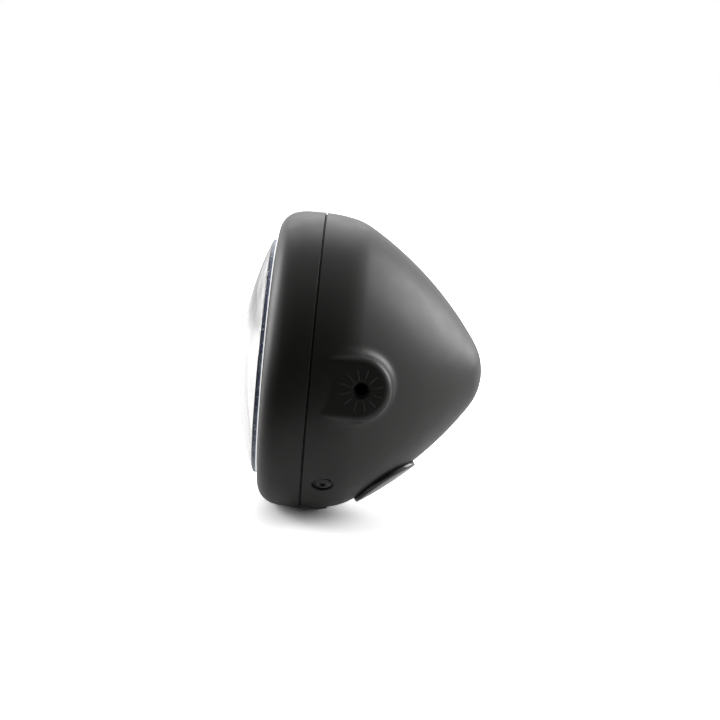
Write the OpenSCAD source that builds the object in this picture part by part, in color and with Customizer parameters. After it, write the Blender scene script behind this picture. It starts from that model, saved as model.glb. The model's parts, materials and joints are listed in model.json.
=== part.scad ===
// Round motorcycle headlight: a pressed bowl with side bosses, a rolled bezel and a glass-fronted insert.
// Millimetres. The lens faces -Y, the bowl's nose points to +Y, +Z is up.
// The origin is where the two side bolts' axis crosses the lamp's axis.

/* [Bowl] */
// Outer radius of the bowl at the seam
bowl_r = 81.9; // [78:0.1:86]
// Wall of the pressed bowl
bowl_wall = 1.6; // [1.2:0.1:2]
// Length of the nearly straight drum behind the seam
drum_len = 15; // [12:0.5:18]
// Radius of the shoulder between drum and flank
shoulder_r = 35; // [30:1:40]
// Radius of the long convex flank
flank_r = 192; // [180:1:200]
// Gap between bezel and bowl at the seam
seam_gap = 1; // [0.6:0.1:1.4]
// Length of the spigot that reaches into the bezel
spigot_len = 4; // [3:0.1:4.2]

/* [Side bosses] */
// Distance of the bolt axis behind the seam
bolt_s = 27; // [26:0.5:28]
// How far each boss face lies inside the bowl's radius
boss_inset = 0.7; // [0.4:0.1:1.5]
// Radius of a boss at its flat face
boss_r = 17; // [15:0.5:18]
// Radius of the fairing between boss and flank
boss_fillet_r = 8; // [6:0.5:10]
// Radius of the hole in the boss face
boss_hole_r = 4.6; // [4.3:0.1:5]
// Radius of the tapped hole, an M8 thread before it is cut
thread_r = 3.4; // [3:0.1:4]
// Radius of the bush inside a boss
bush_r = 7; // [6:0.5:9]
// Length of the bush
bush_len = 14; // [10:0.5:18]
// Radius of the bush's flange
bush_flange_r = 12; // [10:0.5:13]
// Number of serrations around a hole
tooth_count = 12; // [8:1:18]
// Radius at which the serrations end
tooth_out_r = 11.7; // [9:0.1:14]
// Height of a serration
tooth_h = 0.4; // [0.2:0.05:0.6]

/* [Bezel] */
// How far the bezel stands outside the bowl at the seam
seam_step = 0.1; // [0:0.1:0.5]
// Wall of the bezel
bezel_wall = 1.2; // [1:0.1:1.4]
// Length of the bezel's straight band
band_len = 8; // [7.5:0.1:9]
// Radius of the bezel's front corner
corner_r = 12; // [11:0.1:13]
// Width of the bezel's flat face, from its front corner to the middle of the rolled lip
face_w = 4; // [3:0.1:5]
// Radius of the rolled lip
lip_r = 1.2; // [1:0.05:1.3]

/* [Insert] */
// Thickness of the glass
lens_wall = 3; // [2.5:0.1:3.5]
// How far the lens edge stands in front of the bezel lip
lens_stand = 2.9; // [2:0.1:4]
// Crown of the lens
lens_crown = 11.7; // [9:0.1:15]
// Focal length of the reflector
focus = 23; // [21:0.5:26]
// Distance from the reflector's focus to the bulb's seat
seat_len = 29; // [27:0.5:31]
// Wall of the reflector
reflector_wall = 0.9; // [0.7:0.1:1.2]
// Thickness of the rim crimped round the lens
crimp_wall = 0.7; // [0.5:0.05:0.9]
// Thickness of the retaining ring
ring_wall = 1.6; // [1.2:0.1:2]

/* [Bulb] */
// Radius of the bulb's glass
bulb_r = 8.5; // [7.5:0.1:9]
// Length of the bulb's glass in front of its flange
bulb_len = 46; // [42:0.5:50]
// Radius of the bulb's flange
bulb_flange_r = 21.5; // [20:0.1:22]
// Length of the terminals
blade_len = 9; // [7:0.5:12]
// Wall of the rubber boot
boot_wall = 1.8; // [1.4:0.1:2.4]
// Distance of the parking bulb below the lamp's axis
parking_drop = 38; // [36:0.5:41]

/* [Fastenings] */
// Angle of each bezel screw from six o'clock
screw_angle = 45; // [38:1:52]
// Distance of the bezel screws behind the seam
screw_s = 11.4; // [11:0.1:12]
// Radius of the recess around a bezel screw
dimple_r = 5.85; // [5.5:0.05:6.2]
// Radius of the screw's head
head_r = 4.4; // [4:0.1:5]
// Radius of the bezel screw's shank
shank_r = 2.5; // [2:0.1:2.8]
// Width of the lugs that take the bezel screws
lug_w = 14; // [12:0.5:16]
// Thickness of a lug
lug_wall = 2; // [1.6:0.1:2.4]
// Width of the hook at the top of the bezel
hook_w = 18; // [14:0.5:24]

/* [Cable grommet and drain] */
// Angle of the grommet from six o'clock, towards the left side
grommet_angle = 15; // [12:1:21]
// Distance of the grommet's centre behind the seam
grommet_s = 45; // [44:0.5:48]
// Radius of the grommet's flange
grommet_r = 19.5; // [18.5:0.1:20.5]
// Thickness of the grommet's flange
grommet_wall = 2.6; // [2:0.1:3.2]
// Radius of the hole that the grommet fills
grommet_hole_r = 15.5; // [14:0.1:16.5]
// Radius of the grommet's cable hole
cable_r = 4; // [3:0.1:5]
// Half the angle that the drain louvre spans
louvre_half = 11; // [8:0.5:14]
// How far the louvre stands proud of the bowl
louvre_proud = 1; // [0.6:0.1:1.3]

/* [Hidden] */
$fn = 96;

// A profile is a chain of arcs in [distance along the axis, radius]. A heading is the angle by which
// the outline falls towards the axis, and each arc starts at the heading at which the last one ended.
function arc(p, r, a0, a1, n) = [for (i = [1:n]) let (a = a0 + (a1 - a0) * i / n)
    [p[0] + r * (sin(a) - sin(a0)), p[1] - r * (cos(a0) - cos(a))]];
function last(list) = list[len(list) - 1];
function flip(list) = [for (p = list) [p[1], p[0]]];
function back_to_front(list) = [for (i = [len(list) - 1:-1:0]) list[i]];

seam_heading = 1;
drum_heading = 12;
shoulder_heading = 30.5;
flank_heading = 56;
bowl_s0 = seam_gap / 2;
drum_r = drum_len / (sin(drum_heading) - sin(seam_heading));

// The bowl's outline, moved outwards by off
function bowl_start(off) = [bowl_s0 + off * sin(seam_heading), bowl_r + off * cos(seam_heading)];
function bowl_drum(off) = arc(bowl_start(off), drum_r + off, seam_heading, drum_heading, 4);
function bowl_shoulder(off) = let (p = last(bowl_drum(off)))
    arc(p, shoulder_r + off, drum_heading, shoulder_heading, 5);
function bowl_flank(off) = let (p = last(bowl_shoulder(off)))
    arc(p, flank_r + off, shoulder_heading, flank_heading, 10);
function bowl_nose(off) = let (p = last(bowl_flank(off)))
    arc(p, p[1] / cos(flank_heading), flank_heading, 90, 7);
function bowl_line(off) = concat([bowl_start(off)], bowl_drum(off), bowl_shoulder(off), bowl_flank(off),
    bowl_nose(off));

// Radius and heading of the bowl's outside at a distance s behind the seam
shoulder_end = last(bowl_shoulder(0));
drum_end = last(bowl_drum(0));
function flank_heading_at(s) = asin(sin(shoulder_heading) + (s - shoulder_end[0]) / flank_r);
function flank_r_at(s) = shoulder_end[1] - flank_r * (cos(shoulder_heading) - cos(flank_heading_at(s)));
function drum_heading_at(s) = asin(sin(seam_heading) + (s - bowl_s0) / drum_r);
function drum_r_at(s) = bowl_r - drum_r * (cos(seam_heading) - cos(drum_heading_at(s)));
boss_x = bowl_r - boss_inset;

// The bezel's outline in [distance in front of the seam, radius], moved outwards by off
bezel_r = bowl_r + seam_step;
bezel_in_r = bezel_r - bezel_wall;
bend_r = 32;
bend_heading = 14;
face_heading = 82;
bezel_t0 = seam_gap / 2;
function bezel_start(off) = [bezel_t0, bezel_r + off];
function bezel_band(off) = [[band_len, bezel_r + off]];
function bezel_bend(off) = arc([band_len, bezel_r + off], bend_r + off, 0, bend_heading, 3);
function bezel_corner(off) = arc(last(bezel_bend(off)), corner_r + off, bend_heading, face_heading, 10);
lip_centre_r = last(bezel_corner(0))[1] - face_w;
function bezel_face(off) = let (p = last(bezel_corner(off)))
    [[p[0] + (p[1] - lip_centre_r) / tan(face_heading), lip_centre_r]];
function bezel_line(off) = concat([bezel_start(off)], bezel_band(off), bezel_bend(off), bezel_corner(off),
    bezel_face(off));
function bezel_face_t(r, off) = let (p = last(bezel_corner(off))) p[0] + (p[1] - r) / tan(face_heading);
lip_t = bezel_face_t(lip_centre_r, 0);

// The insert, in distances in front of the seam. The lens fits inside the bezel's lip, with the crimped rim
// and the gasket's lip between.
lip_fit = 0.4;
lens_r = lip_centre_r - lip_r - lip_fit - crimp_wall;
lens_edge_t = lip_t + lens_stand + lip_r;
crimp_drop = 1.9;
crimp_t = lens_edge_t - crimp_drop;
gasket_wall = 0.8;
flange_reach = 4.4;
insert_flange_r = lens_r + flange_reach;
flange_wall = 0.8;
seat_fold = 0.6;
flange_t1 = bezel_face_t(insert_flange_r, -bezel_wall) - gasket_wall;
flange_t0 = flange_t1 - flange_wall;
lens_seat_t = flange_t0 - seat_fold;
dome_r = (lens_r * lens_r + lens_crown * lens_crown) / (2 * lens_crown);
dome_half = asin(lens_r / dome_r);

// The reflector is a paraboloid: its depth at a radius is radius squared over four focal lengths
mouth_step = 0.7;
mouth_r = lens_r - lens_wall + mouth_step;
vertex_s = mouth_r * mouth_r / (4 * focus) - lens_seat_t;
function dish_s(r) = vertex_s - r * r / (4 * focus);
neck_r = 17.5;
clip_r = 0.8;
clip_fit = 0.2;
collar_r = bulb_flange_r + 2 * clip_r + 2 * clip_fit;
seat_s = vertex_s - focus + seat_len;
dish_steps = 12;

// The bulb
base_flange_wall = 1.2;
base_r = 11;
base_len = 12;
neck_fit_r = 10.6;
base_front = 9;
blade_w = 8;
blade_wall = 0.8;
blade_count = 3;
blade_ring_r = 7.5;
bulb_wall = 1;

// Fastenings
screw_fit = 0.3;
dimple_depth = 2.2;
floor_wall = bowl_wall;
screw_surface_r = drum_r_at(screw_s);
floor_r1 = screw_surface_r - dimple_depth;
floor_r0 = floor_r1 - floor_wall;
head_h = 1.9;
nut_h = 4;
nut_r = 4.6;
spigot_fit = 0.3;
spigot_r = bezel_r - bezel_wall - spigot_fit;
spigot_wall = bowl_wall;
foot_gap = 0.5;

// The retaining ring
ring_step = 2.4;
ring_in_gap = 1.2;
ring_in_r = lens_r + ring_in_gap;
ring_skirt = 1.6;
ring_t1 = flange_t0 - ring_step;
ring_t0 = ring_t1 - ring_wall;
post_r = 3.4;
post_gap = 0.6;
ring_edge = 3;
ring_screw_r = insert_flange_r + post_gap + post_r;
ring_out_r = ring_screw_r + ring_edge;
ring_screw_n = 4;
ring_shank_r = 2;
ring_hole_fit = 0.2;
ring_head_r = 3.6;
ring_head_h = 2.2;

// Length of a cut that runs right through what it opens
through = 40;

// Places: axial() turns a shape made about Z into one about the lamp's axis, with z the distance behind
// the seam. out_at() points z away from the axis, at an angle from six o'clock towards the left side.
module axial() { translate([0, -bolt_s, 0]) rotate([-90, 0, 0]) children(); }
module out_at(angle, s) { translate([0, s - bolt_s, 0]) rotate([0, 180 - angle, 0]) children(); }
module turned(points) { axial() rotate_extrude() polygon(points); }
// A turned shape whose points are [distance in front of the seam, radius]
module turned_front(points) { turned([for (p = points) [p[1], -p[0]]]); }
// A turned shape over an angle of half each side of mid, counted from six o'clock towards the left side
module sector(mid, half, points) {
    axial() rotate([0, 0, 90 - mid - half]) rotate_extrude(angle = 2 * half) polygon(flip(points));
}

// The bowl

module bowl_solid(off) {
    line = bowl_line(off);
    turned(flip(concat([[line[0][0], 0]], line)));
}

// Half the boss's section, in [radius, height]: flat face, rounded edge, drafted wall and flare
boss_edge = 4;
boss_draft = 0.9;
boss_flare = 46;
boss_root = 9;
flare_rise = 3;
function boss_profile() = let (cx = boss_r + boss_draft + boss_fillet_r,
    cy = flank_r_at(bolt_s + boss_r) + flare_rise)
    concat([[0, boss_x]],
        [for (i = [0:4]) let (a = 90 - 90 * i / 4)
            [boss_r - boss_edge + boss_edge * cos(a), boss_x - boss_edge + boss_edge * sin(a)]],
        [for (i = [0:6]) let (a = boss_flare * i / 6)
            [cx - boss_fillet_r * cos(a), cy - boss_fillet_r * sin(a)]],
        [[cx - boss_fillet_r * cos(boss_flare), cy - boss_fillet_r - boss_root],
            [0, cy - boss_fillet_r - boss_root]]);

module boss_outside(angle) {
    out_at(angle, bolt_s) rotate_extrude() polygon(boss_profile());
}

// The boss runs on forwards with the same section, and sinks into the drum at the seam
module boss_ridge(angle) {
    half = boss_profile();
    other = [for (p = back_to_front(half)) if (p[0] > 0) [-p[0], p[1]]];
    corner = sqrt(boss_x * boss_x + boss_r * boss_r);
    intersection() {
        out_at(angle, bolt_s) rotate([90, 0, 0]) linear_extrude(bolt_s - bowl_s0)
            polygon(concat(half, other));
        turned([[0, bowl_s0], [bowl_r, bowl_s0], [corner, bolt_s - boss_r], [corner, bolt_s], [0, bolt_s]]);
    }
}

module boss_inside(angle) {
    out_at(angle, bolt_s) translate([0, 0, boss_x - bowl_wall - through])
        cylinder(r = boss_r - bowl_wall, h = through);
    out_at(angle, bolt_s) translate([0, 0, boss_x - through]) cylinder(r = boss_hole_r, h = through + 1);
}

module serrations(angle) {
    tooth_gap = 0.6;
    tooth_in_r = boss_hole_r + tooth_gap;
    tooth_half = 0.55;
    sunk = 0.3;
    out_at(angle, bolt_s) for (i = [0:tooth_count - 1])
        rotate([0, 0, (i + 0.5) * 360 / tooth_count]) translate([tooth_in_r, 0, boss_x])
            rotate([90, 0, 90]) linear_extrude(tooth_out_r - tooth_in_r)
                polygon([[-tooth_half, -sunk], [tooth_half, -sunk], [tooth_half, 0], [0, tooth_h],
                    [-tooth_half, 0]]);
}

// The dimple for a bezel screw, a cup pressed inwards
module dimple_cup(angle) {
    rim_drop = 0.6;
    out_at(angle, screw_s) translate([0, 0, floor_r0])
        cylinder(r = dimple_r + floor_wall, h = screw_surface_r - floor_r0 - rim_drop);
}

module dimple_cut(angle) {
    out_at(angle, screw_s) translate([0, 0, floor_r1]) cylinder(r = dimple_r, h = through);
    out_at(angle, screw_s) translate([0, 0, floor_r0 - floor_wall])
        cylinder(r = shank_r + screw_fit, h = through);
}

// The drain louvre: a lanced lip that opens towards the nose, with a sunk floor behind it. Its points are
// [distance behind the seam, height above the bowl's surface there].
lip_s0 = 3.8;
lip_s1 = 9.5;
lip_s2 = 14.5;
lip_wall = 1.3;
recess_s = 20;
recess_depth = 0.9;
cheek = 0.8;
tuck = 2;
fold = 1.1;
function shoulder_heading_at(s) = asin(sin(drum_heading) + (s - drum_end[0]) / shoulder_r);
function shoulder_r_at(s) = drum_end[1] - shoulder_r * (cos(drum_heading) - cos(shoulder_heading_at(s)));
function surface_r(s) = s < drum_end[0] ? drum_r_at(s) : shoulder_r_at(s);
function on_surface(points) = [for (p = points) [p[0], surface_r(p[0]) + p[1]]];

module louvre_window() {
    window_s = lip_s0 + 1.4;
    deep = 4;
    sector(0, louvre_half, on_surface([[window_s, -deep], [window_s, deep], [recess_s, deep],
        [recess_s, -deep]]));
}

module louvre() {
    bend_s = (lip_s0 + lip_s1) / 2;
    bend_h = louvre_proud * 0.55;
    cheek_root = -1.2;
    under = louvre_proud - lip_wall;
    floor_under = -recess_depth - lip_wall;
    top = [[lip_s0, -0.3], [bend_s, bend_h], [lip_s1, louvre_proud], [lip_s2, louvre_proud]];
    sector(0, louvre_half + cheek, on_surface(concat(top, [[lip_s2, under], [lip_s1, under],
        [bend_s, -fold], [lip_s0, -fold]])));
    for (side = [-1, 1]) sector(side * louvre_half, cheek, on_surface(concat(top,
        [[lip_s2, cheek_root], [lip_s1, cheek_root], [bend_s, cheek_root], [lip_s0, cheek_root]])));
    sector(0, louvre_half + cheek, on_surface([[lip_s2 - tuck, -recess_depth], [lip_s2 + tuck, -recess_depth],
        [recess_s - 1, -recess_depth], [recess_s + 1, -0.4], [recess_s + 1, -2], [recess_s - 1, floor_under],
        [lip_s2 + tuck, floor_under], [lip_s2 - tuck, floor_under]]));
}

module spigot() {
    back = 5;
    turned([[spigot_r - spigot_wall, -spigot_len], [spigot_r, -spigot_len], [spigot_r, bowl_s0],
        [bowl_r - bowl_wall / 2, bowl_s0], [bowl_r - bowl_wall / 2, back], [spigot_r - spigot_wall, back]]);
}

module grommet_axis() {
    out_at(grommet_angle, grommet_s) translate([0, 0, flank_r_at(grommet_s)])
        rotate([-flank_heading_at(grommet_s), 0, 0]) children();
}

module bowl() {
    color([0.11, 0.11, 0.1])
    difference() {
        union() {
            difference() {
                union() {
                    bowl_solid(0);
                    for (side = [-90, 90]) {
                        boss_outside(side);
                        boss_ridge(side);
                        serrations(side);
                    }
                }
                bowl_inside();
                for (side = [-90, 90]) boss_inside(side);
                louvre_window();
            }
            spigot();
            louvre();
            for (side = [-1, 1]) dimple_cup(side * screw_angle);
        }
        for (side = [-1, 1]) dimple_cut(side * screw_angle);
        grommet_axis() translate([0, 0, -through / 2]) cylinder(r = grommet_hole_r, h = through);
    }
}

// The hollow of the bowl, open at the seam
module bowl_inside() {
    line = bowl_line(-bowl_wall);
    turned(flip(concat([[bowl_s0 - 2, 0], [bowl_s0 - 2, line[0][1]]], line)));
}

// A tapped bush behind each boss face

module bush(angle) {
    flange_wall = 3;
    chamfer = 1;
    h1 = boss_x - bowl_wall;
    h0 = h1 - bush_len;
    color([0.62, 0.6, 0.55]) out_at(angle, bolt_s) rotate_extrude()
        polygon([[thread_r, h0], [bush_r, h0], [bush_r, h1 - flange_wall], [bush_flange_r, h1 - flange_wall],
            [bush_flange_r, h1], [thread_r + chamfer, h1], [thread_r, h1 - chamfer]]);
}
module left_bush() { bush(90); }
module right_bush() { bush(-90); }

// The seal in the seam

module rim_seal() {
    proud = 0.7;
    color([0.03, 0.03, 0.03])
    turned([[spigot_r, -seam_gap / 2], [spigot_r + proud, -seam_gap / 2], [spigot_r + proud, seam_gap / 2],
        [spigot_r, seam_gap / 2]]);
}

// The bezel

module bezel_profile() {
    polygon(flip(concat(bezel_line(0), back_to_front(bezel_line(-bezel_wall)))));
    translate([lip_centre_r, lip_t - lip_r * 0.1]) circle(r = lip_r, $fn = 48);
}

module mirrored_axial() { axial() mirror([0, 0, 1]) children(); }

module bezel() {
    post_bore = 2.4;
    color([0.11, 0.11, 0.1])
    difference() {
        union() {
            mirrored_axial() rotate_extrude() bezel_profile();
            intersection() {
                for (i = [0:ring_screw_n - 1]) mirrored_axial() rotate([0, 0, i * 360 / ring_screw_n])
                    translate([ring_screw_r, 0, ring_t1]) cylinder(r = post_r, h = through);
                turned_front(concat([[ring_t1, 0]], [[ring_t1, bezel_r]], bezel_inner_sheet(),
                    [[lip_t - 1, 0]]));
            }
        }
        for (i = [0:ring_screw_n - 1]) mirrored_axial() rotate([0, 0, i * 360 / ring_screw_n])
            translate([ring_screw_r, 0, ring_t1 - 1]) cylinder(r = ring_shank_r, h = post_bore + 1);
    }
}

// Points a little inside the bezel's sheet, where the posts end
function bezel_inner_sheet() = [for (p = bezel_corner(-bezel_wall / 2)) if (p[0] > ring_t1) p];

// Lugs that the bezel screws are driven into

lug_r1 = floor_r0;
lug_r0 = lug_r1 - lug_wall;
lug_end = 6;
lug_s1 = screw_s + lug_end;
foot_s0 = -band_len;
foot_s1 = -spigot_len - foot_gap;
module lug(angle) {
    color([0.45, 0.45, 0.45])
    difference() {
        union() {
            out_at(angle, 0) translate([-lug_w / 2, foot_s0, lug_r0])
                cube([lug_w, lug_s1 - foot_s0, lug_wall]);
            intersection() {
                out_at(angle, 0) translate([-lug_w / 2, foot_s0, lug_r0])
                    cube([lug_w, foot_s1 - foot_s0, through]);
                axial() translate([0, 0, foot_s0]) cylinder(r = bezel_in_r, h = foot_s1 - foot_s0);
            }
            out_at(angle, screw_s) translate([0, 0, lug_r0 - nut_h])
                cylinder(r = nut_r, h = nut_h + lug_wall / 2);
        }
        out_at(angle, screw_s) translate([0, 0, lug_r0 - nut_h - 1]) cylinder(r = shank_r, h = through);
    }
}
module left_lug() { lug(screw_angle); }
module right_lug() { lug(-screw_angle); }

// Countersunk bezel screws with a six-lobe socket

module bezel_screw(angle) {
    tip = 1;
    socket_r = 1.9;
    socket_depth = 1.3;
    shank_len = floor_wall + lug_wall + nut_h + tip;
    color([0.12, 0.12, 0.12])
    out_at(angle, screw_s) difference() {
        rotate_extrude()
            polygon([[0, floor_r1 - shank_len], [shank_r - 0.6, floor_r1 - shank_len],
                [shank_r, floor_r1 - shank_len + 0.8], [shank_r, floor_r1], [head_r, floor_r1],
                [head_r, floor_r1 + head_h * 0.55], [head_r * 0.75, floor_r1 + head_h * 0.88],
                [head_r * 0.4, floor_r1 + head_h], [0, floor_r1 + head_h]]);
        translate([0, 0, floor_r1 + head_h - socket_depth]) linear_extrude(5)
            for (i = [0:2]) rotate([0, 0, i * 60]) square([2 * socket_r, 0.9], center = true);
    }
}
module left_screw() { bezel_screw(screw_angle); }
module right_screw() { bezel_screw(-screw_angle); }

// The hook at the top of the bezel, behind the spigot's slot

module top_hook() {
    hook_wall = 1.5;
    hook_r1 = spigot_r - spigot_wall;
    hook_r0 = hook_r1 - hook_wall;
    tip_s = 7;
    color([0.45, 0.45, 0.45]) {
        intersection() {
            out_at(180, 0) translate([-hook_w / 2, foot_s0, hook_r0 - hook_wall])
                cube([hook_w, foot_s1 - foot_s0, through]);
            axial() translate([0, 0, foot_s0]) cylinder(r = bezel_in_r, h = foot_s1 - foot_s0);
        }
        intersection() {
            out_at(180, 0) translate([-hook_w / 2, foot_s0, hook_r0 - hook_wall])
                cube([hook_w, tip_s - foot_s0, through]);
            axial() translate([0, 0, foot_s0]) difference() {
                cylinder(r = hook_r1, h = tip_s - foot_s0);
                translate([0, 0, -1]) cylinder(r = hook_r0, h = tip_s - foot_s0 + 2);
            }
        }
    }
}

// The insert: gasket, lens, reflector and retaining ring

module lens_gasket() {
    r0 = lens_r + crimp_wall;
    color([0.03, 0.03, 0.03])
    mirrored_axial() rotate_extrude() difference() {
        union() {
            polygon([[r0, flange_t1], [insert_flange_r, flange_t1],
                [insert_flange_r, bezel_face_t(insert_flange_r, -bezel_wall / 2)],
                [lip_centre_r, bezel_face_t(lip_centre_r, -bezel_wall / 2)],
                [r0, bezel_face_t(lip_centre_r, -bezel_wall / 2)]]);
            polygon([[r0, flange_t1], [r0 + lip_fit, flange_t1], [r0 + lip_fit, lip_t], [r0, lip_t]]);
        }
        bezel_profile();
    }
}

module lens() {
    steps = 12;
    top_t = lens_edge_t + lens_crown;
    centre_t = top_t - dome_r;
    edge = 0.5;
    in_r = dome_r - lens_wall;
    in_half = asin((lens_r - lens_wall) / in_r);
    outer = [for (i = [0:steps]) let (a = dome_half * i / steps)
        [dome_r * sin(a), centre_t + dome_r * cos(a)]];
    inner = [for (i = [steps:-1:0]) let (a = in_half * i / steps)
        [in_r * sin(a), centre_t + in_r * cos(a)]];
    color([0.85, 0.9, 0.92, 0.45])
    mirrored_axial() rotate_extrude()
        polygon(concat([for (i = [0:steps - 1]) outer[i]],
            [[lens_r - edge, last(outer)[1]], [lens_r, lens_edge_t - edge], [lens_r, lens_seat_t],
            [lens_r - lens_wall, lens_seat_t]], inner));
}

module reflector() {
    back = [for (i = [0:dish_steps]) let (r = neck_r + (mouth_r - neck_r) * i / dish_steps)
        [r, dish_s(r)]];
    shell = [for (i = [dish_steps:-1:0]) let (p = back[i], a = atan(p[0] / (2 * focus)))
        [p[0] + reflector_wall * sin(a), p[1] + reflector_wall * cos(a)]];
    brim_s = -lens_seat_t;
    brim_w = 2;
    collar_rise = 4;
    parking_wall = 1.5;
    out_r = lens_r + crimp_wall;
    color([0.86, 0.87, 0.88])
    difference() {
        union() {
            turned(concat(back, [[lens_r, brim_s], [lens_r, -crimp_t], [out_r, -crimp_t],
                [out_r, -flange_t1], [insert_flange_r, -flange_t1], [insert_flange_r, -flange_t0],
                [out_r, -flange_t0], [out_r, brim_s + flange_wall], [mouth_r + brim_w, brim_s + flange_wall]],
                [for (i = [1:dish_steps]) shell[i]],
                [[collar_r, dish_s(neck_r) + collar_rise], [collar_r, seat_s], [neck_r, seat_s]]));
            parking_place() translate([0, 0, -1])
                cylinder(r = parking_hole_r + parking_wall, h = parking_boss + 1);
        }
        parking_place() translate([0, 0, -through / 2]) cylinder(r = parking_hole_r, h = through);
        turned(concat([[0, dish_s(0)]], back, [[mouth_r, -crimp_t], [0, -crimp_t]]));
        turned([[0, 0], [neck_r, 0], [neck_r, seat_s + 1], [0, seat_s + 1]]);
    }
}

// The parking lamp's hole in the reflector, below the main bulb
parking_hole_r = 6;
parking_boss = 8;
parking_s = dish_s(parking_drop);
module parking_place() {
    translate([0, parking_s - bolt_s, -parking_drop]) rotate([-90, 0, 0]) children();
}

module retaining_ring() {
    color([0.6, 0.6, 0.58])
    difference() {
        turned_front([[ring_t0, ring_in_r], [ring_t0, ring_out_r], [ring_t1, ring_out_r],
            [ring_t1, ring_in_r + ring_skirt], [flange_t0, ring_in_r + ring_skirt], [flange_t0, ring_in_r]]);
        for (i = [0:ring_screw_n - 1]) mirrored_axial() rotate([0, 0, i * 360 / ring_screw_n])
            translate([ring_screw_r, 0, ring_t0 - 1])
                cylinder(r = ring_shank_r + ring_hole_fit, h = ring_wall + 2);
    }
}

module ring_screws() {
    grip = 2.2;
    slot_w = 0.9;
    shank = ring_wall + grip;
    color([0.6, 0.6, 0.58])
    for (i = [0:ring_screw_n - 1]) mirrored_axial() rotate([0, 0, i * 360 / ring_screw_n])
        translate([ring_screw_r, 0, ring_t0]) difference() {
            rotate_extrude() polygon([[0, shank], [ring_shank_r, shank], [ring_shank_r, 0], [ring_head_r, 0],
                [ring_head_r, -ring_head_h * 0.5], [ring_head_r * 0.7, -ring_head_h], [0, -ring_head_h]]);
            translate([0, 0, -ring_head_h]) cube([2 * ring_head_r + 1, slot_w, 2], center = true);
        }
}

// The bulb: glass, filaments on their posts, flanged base and three blades

base_top_s = seat_s - base_front;
glass_top_s = seat_s - bulb_len;
module bulb_glass() {
    steps = 5;
    inner_r = bulb_r - bulb_wall;
    outer = [for (i = [0:steps]) let (a = 90 * i / steps)
        [bulb_r * sin(a), glass_top_s + bulb_r - bulb_r * cos(a)]];
    inner = [for (i = [steps:-1:0]) let (a = 90 * i / steps)
        [inner_r * sin(a), glass_top_s + bulb_r - inner_r * cos(a)]];
    color([0.9, 0.92, 0.95, 0.4])
    turned(concat(outer, [[bulb_r, base_top_s], [inner_r, base_top_s]], inner));
}

module filaments() {
    post_x = 3.2;
    wire_r = 0.45;
    cup_r = post_x + wire_r;
    coil_r = 0.8;
    coil_gap = 7;
    cup_len = 5;
    cup_wall = 0.4;
    cup_y = 0.9;
    low_s = vertex_s - focus;
    top_s = low_s - 5;
    color([0.55, 0.55, 0.55]) {
        for (x = [-post_x, post_x]) axial() translate([x, 0, top_s])
            cylinder(r = wire_r, h = base_top_s - top_s, $fn = 16);
        for (s = [low_s, low_s + coil_gap]) axial() translate([0, 0, s]) rotate([0, 90, 0])
            translate([0, 0, -post_x]) cylinder(r = coil_r, h = 2 * post_x, $fn = 24);
        axial() translate([0, 0, low_s - cup_len / 2]) difference() {
            intersection() {
                cylinder(r = cup_r, h = cup_len);
                translate([-cup_r, cup_y, 0]) cube([2 * cup_r, cup_r, cup_len]);
            }
            translate([0, 0, cup_wall]) cylinder(r = cup_r - cup_wall, h = cup_len);
        }
    }
}

module bulb_base() {
    color([0.7, 0.68, 0.6])
    turned([[0, base_top_s], [neck_fit_r, base_top_s], [neck_fit_r, seat_s], [bulb_flange_r, seat_s],
        [bulb_flange_r, seat_s + base_flange_wall], [base_r, seat_s + base_flange_wall],
        [base_r, seat_s + base_len], [0, seat_s + base_len]]);
}

module bulb_terminals() {
    color([0.75, 0.72, 0.6])
    for (i = [0:blade_count - 1]) axial() rotate([0, 0, -90 + i * 90])
        translate([blade_ring_r - blade_wall, -blade_w / 2, seat_s + base_len])
            cube([blade_wall, blade_w, blade_len]);
}

// The wire clip that holds the bulb's flange against its seat
clip_s = seat_s + base_flange_wall + clip_r;
module bulb_clip() {
    bow_r = 15;
    anchor_r = bulb_flange_r + clip_fit + clip_r;
    arm = sqrt(anchor_r * anchor_r - bow_r * bow_r);
    color([0.72, 0.72, 0.72]) {
        axial() translate([0, 0, clip_s]) rotate_extrude(angle = 180)
            translate([bow_r, 0]) circle(r = clip_r, $fn = 24);
        for (x = [-bow_r, bow_r]) {
            axial() translate([x, 0, clip_s]) rotate([90, 0, 0]) cylinder(r = clip_r, h = arm, $fn = 24);
            axial() translate([x, -arm, clip_s]) sphere(r = clip_r, $fn = 24);
            axial() translate([x, -arm, seat_s]) cylinder(r = clip_r, h = clip_s - seat_s, $fn = 24);
        }
    }
}

// The rubber boot over the back of the bulb
module bulb_boot() {
    grip = 6;
    lip_w = 2;
    tail_s = seat_s + base_len - lip_w;
    knee_s = clip_s + lip_w;
    color([0.05, 0.05, 0.05])
    turned([[collar_r, seat_s - grip], [collar_r + boot_wall, seat_s - grip], [collar_r + boot_wall, knee_s],
        [base_r + boot_wall + lip_w, tail_s], [base_r, tail_s], [base_r, tail_s - boot_wall],
        [base_r + 1, tail_s - boot_wall], [collar_r, knee_s - boot_wall * 0.4]]);
}

// The parking lamp: a rubber holder plugged into the reflector, with its own small bulb

plug_lip = 1.6;
plug_front = 2;
module parking_holder() {
    lip_wall = 3;
    tail_len = 10;
    lip_r = parking_hole_r + plug_lip;
    tail_h = parking_boss + tail_len;
    color([0.06, 0.06, 0.06])
    parking_place() rotate_extrude() polygon([[0, -plug_front], [parking_hole_r, -plug_front],
        [parking_hole_r, parking_boss], [lip_r, parking_boss], [lip_r, parking_boss + lip_wall],
        [parking_hole_r - 1, tail_h], [0, tail_h]]);
}

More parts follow.
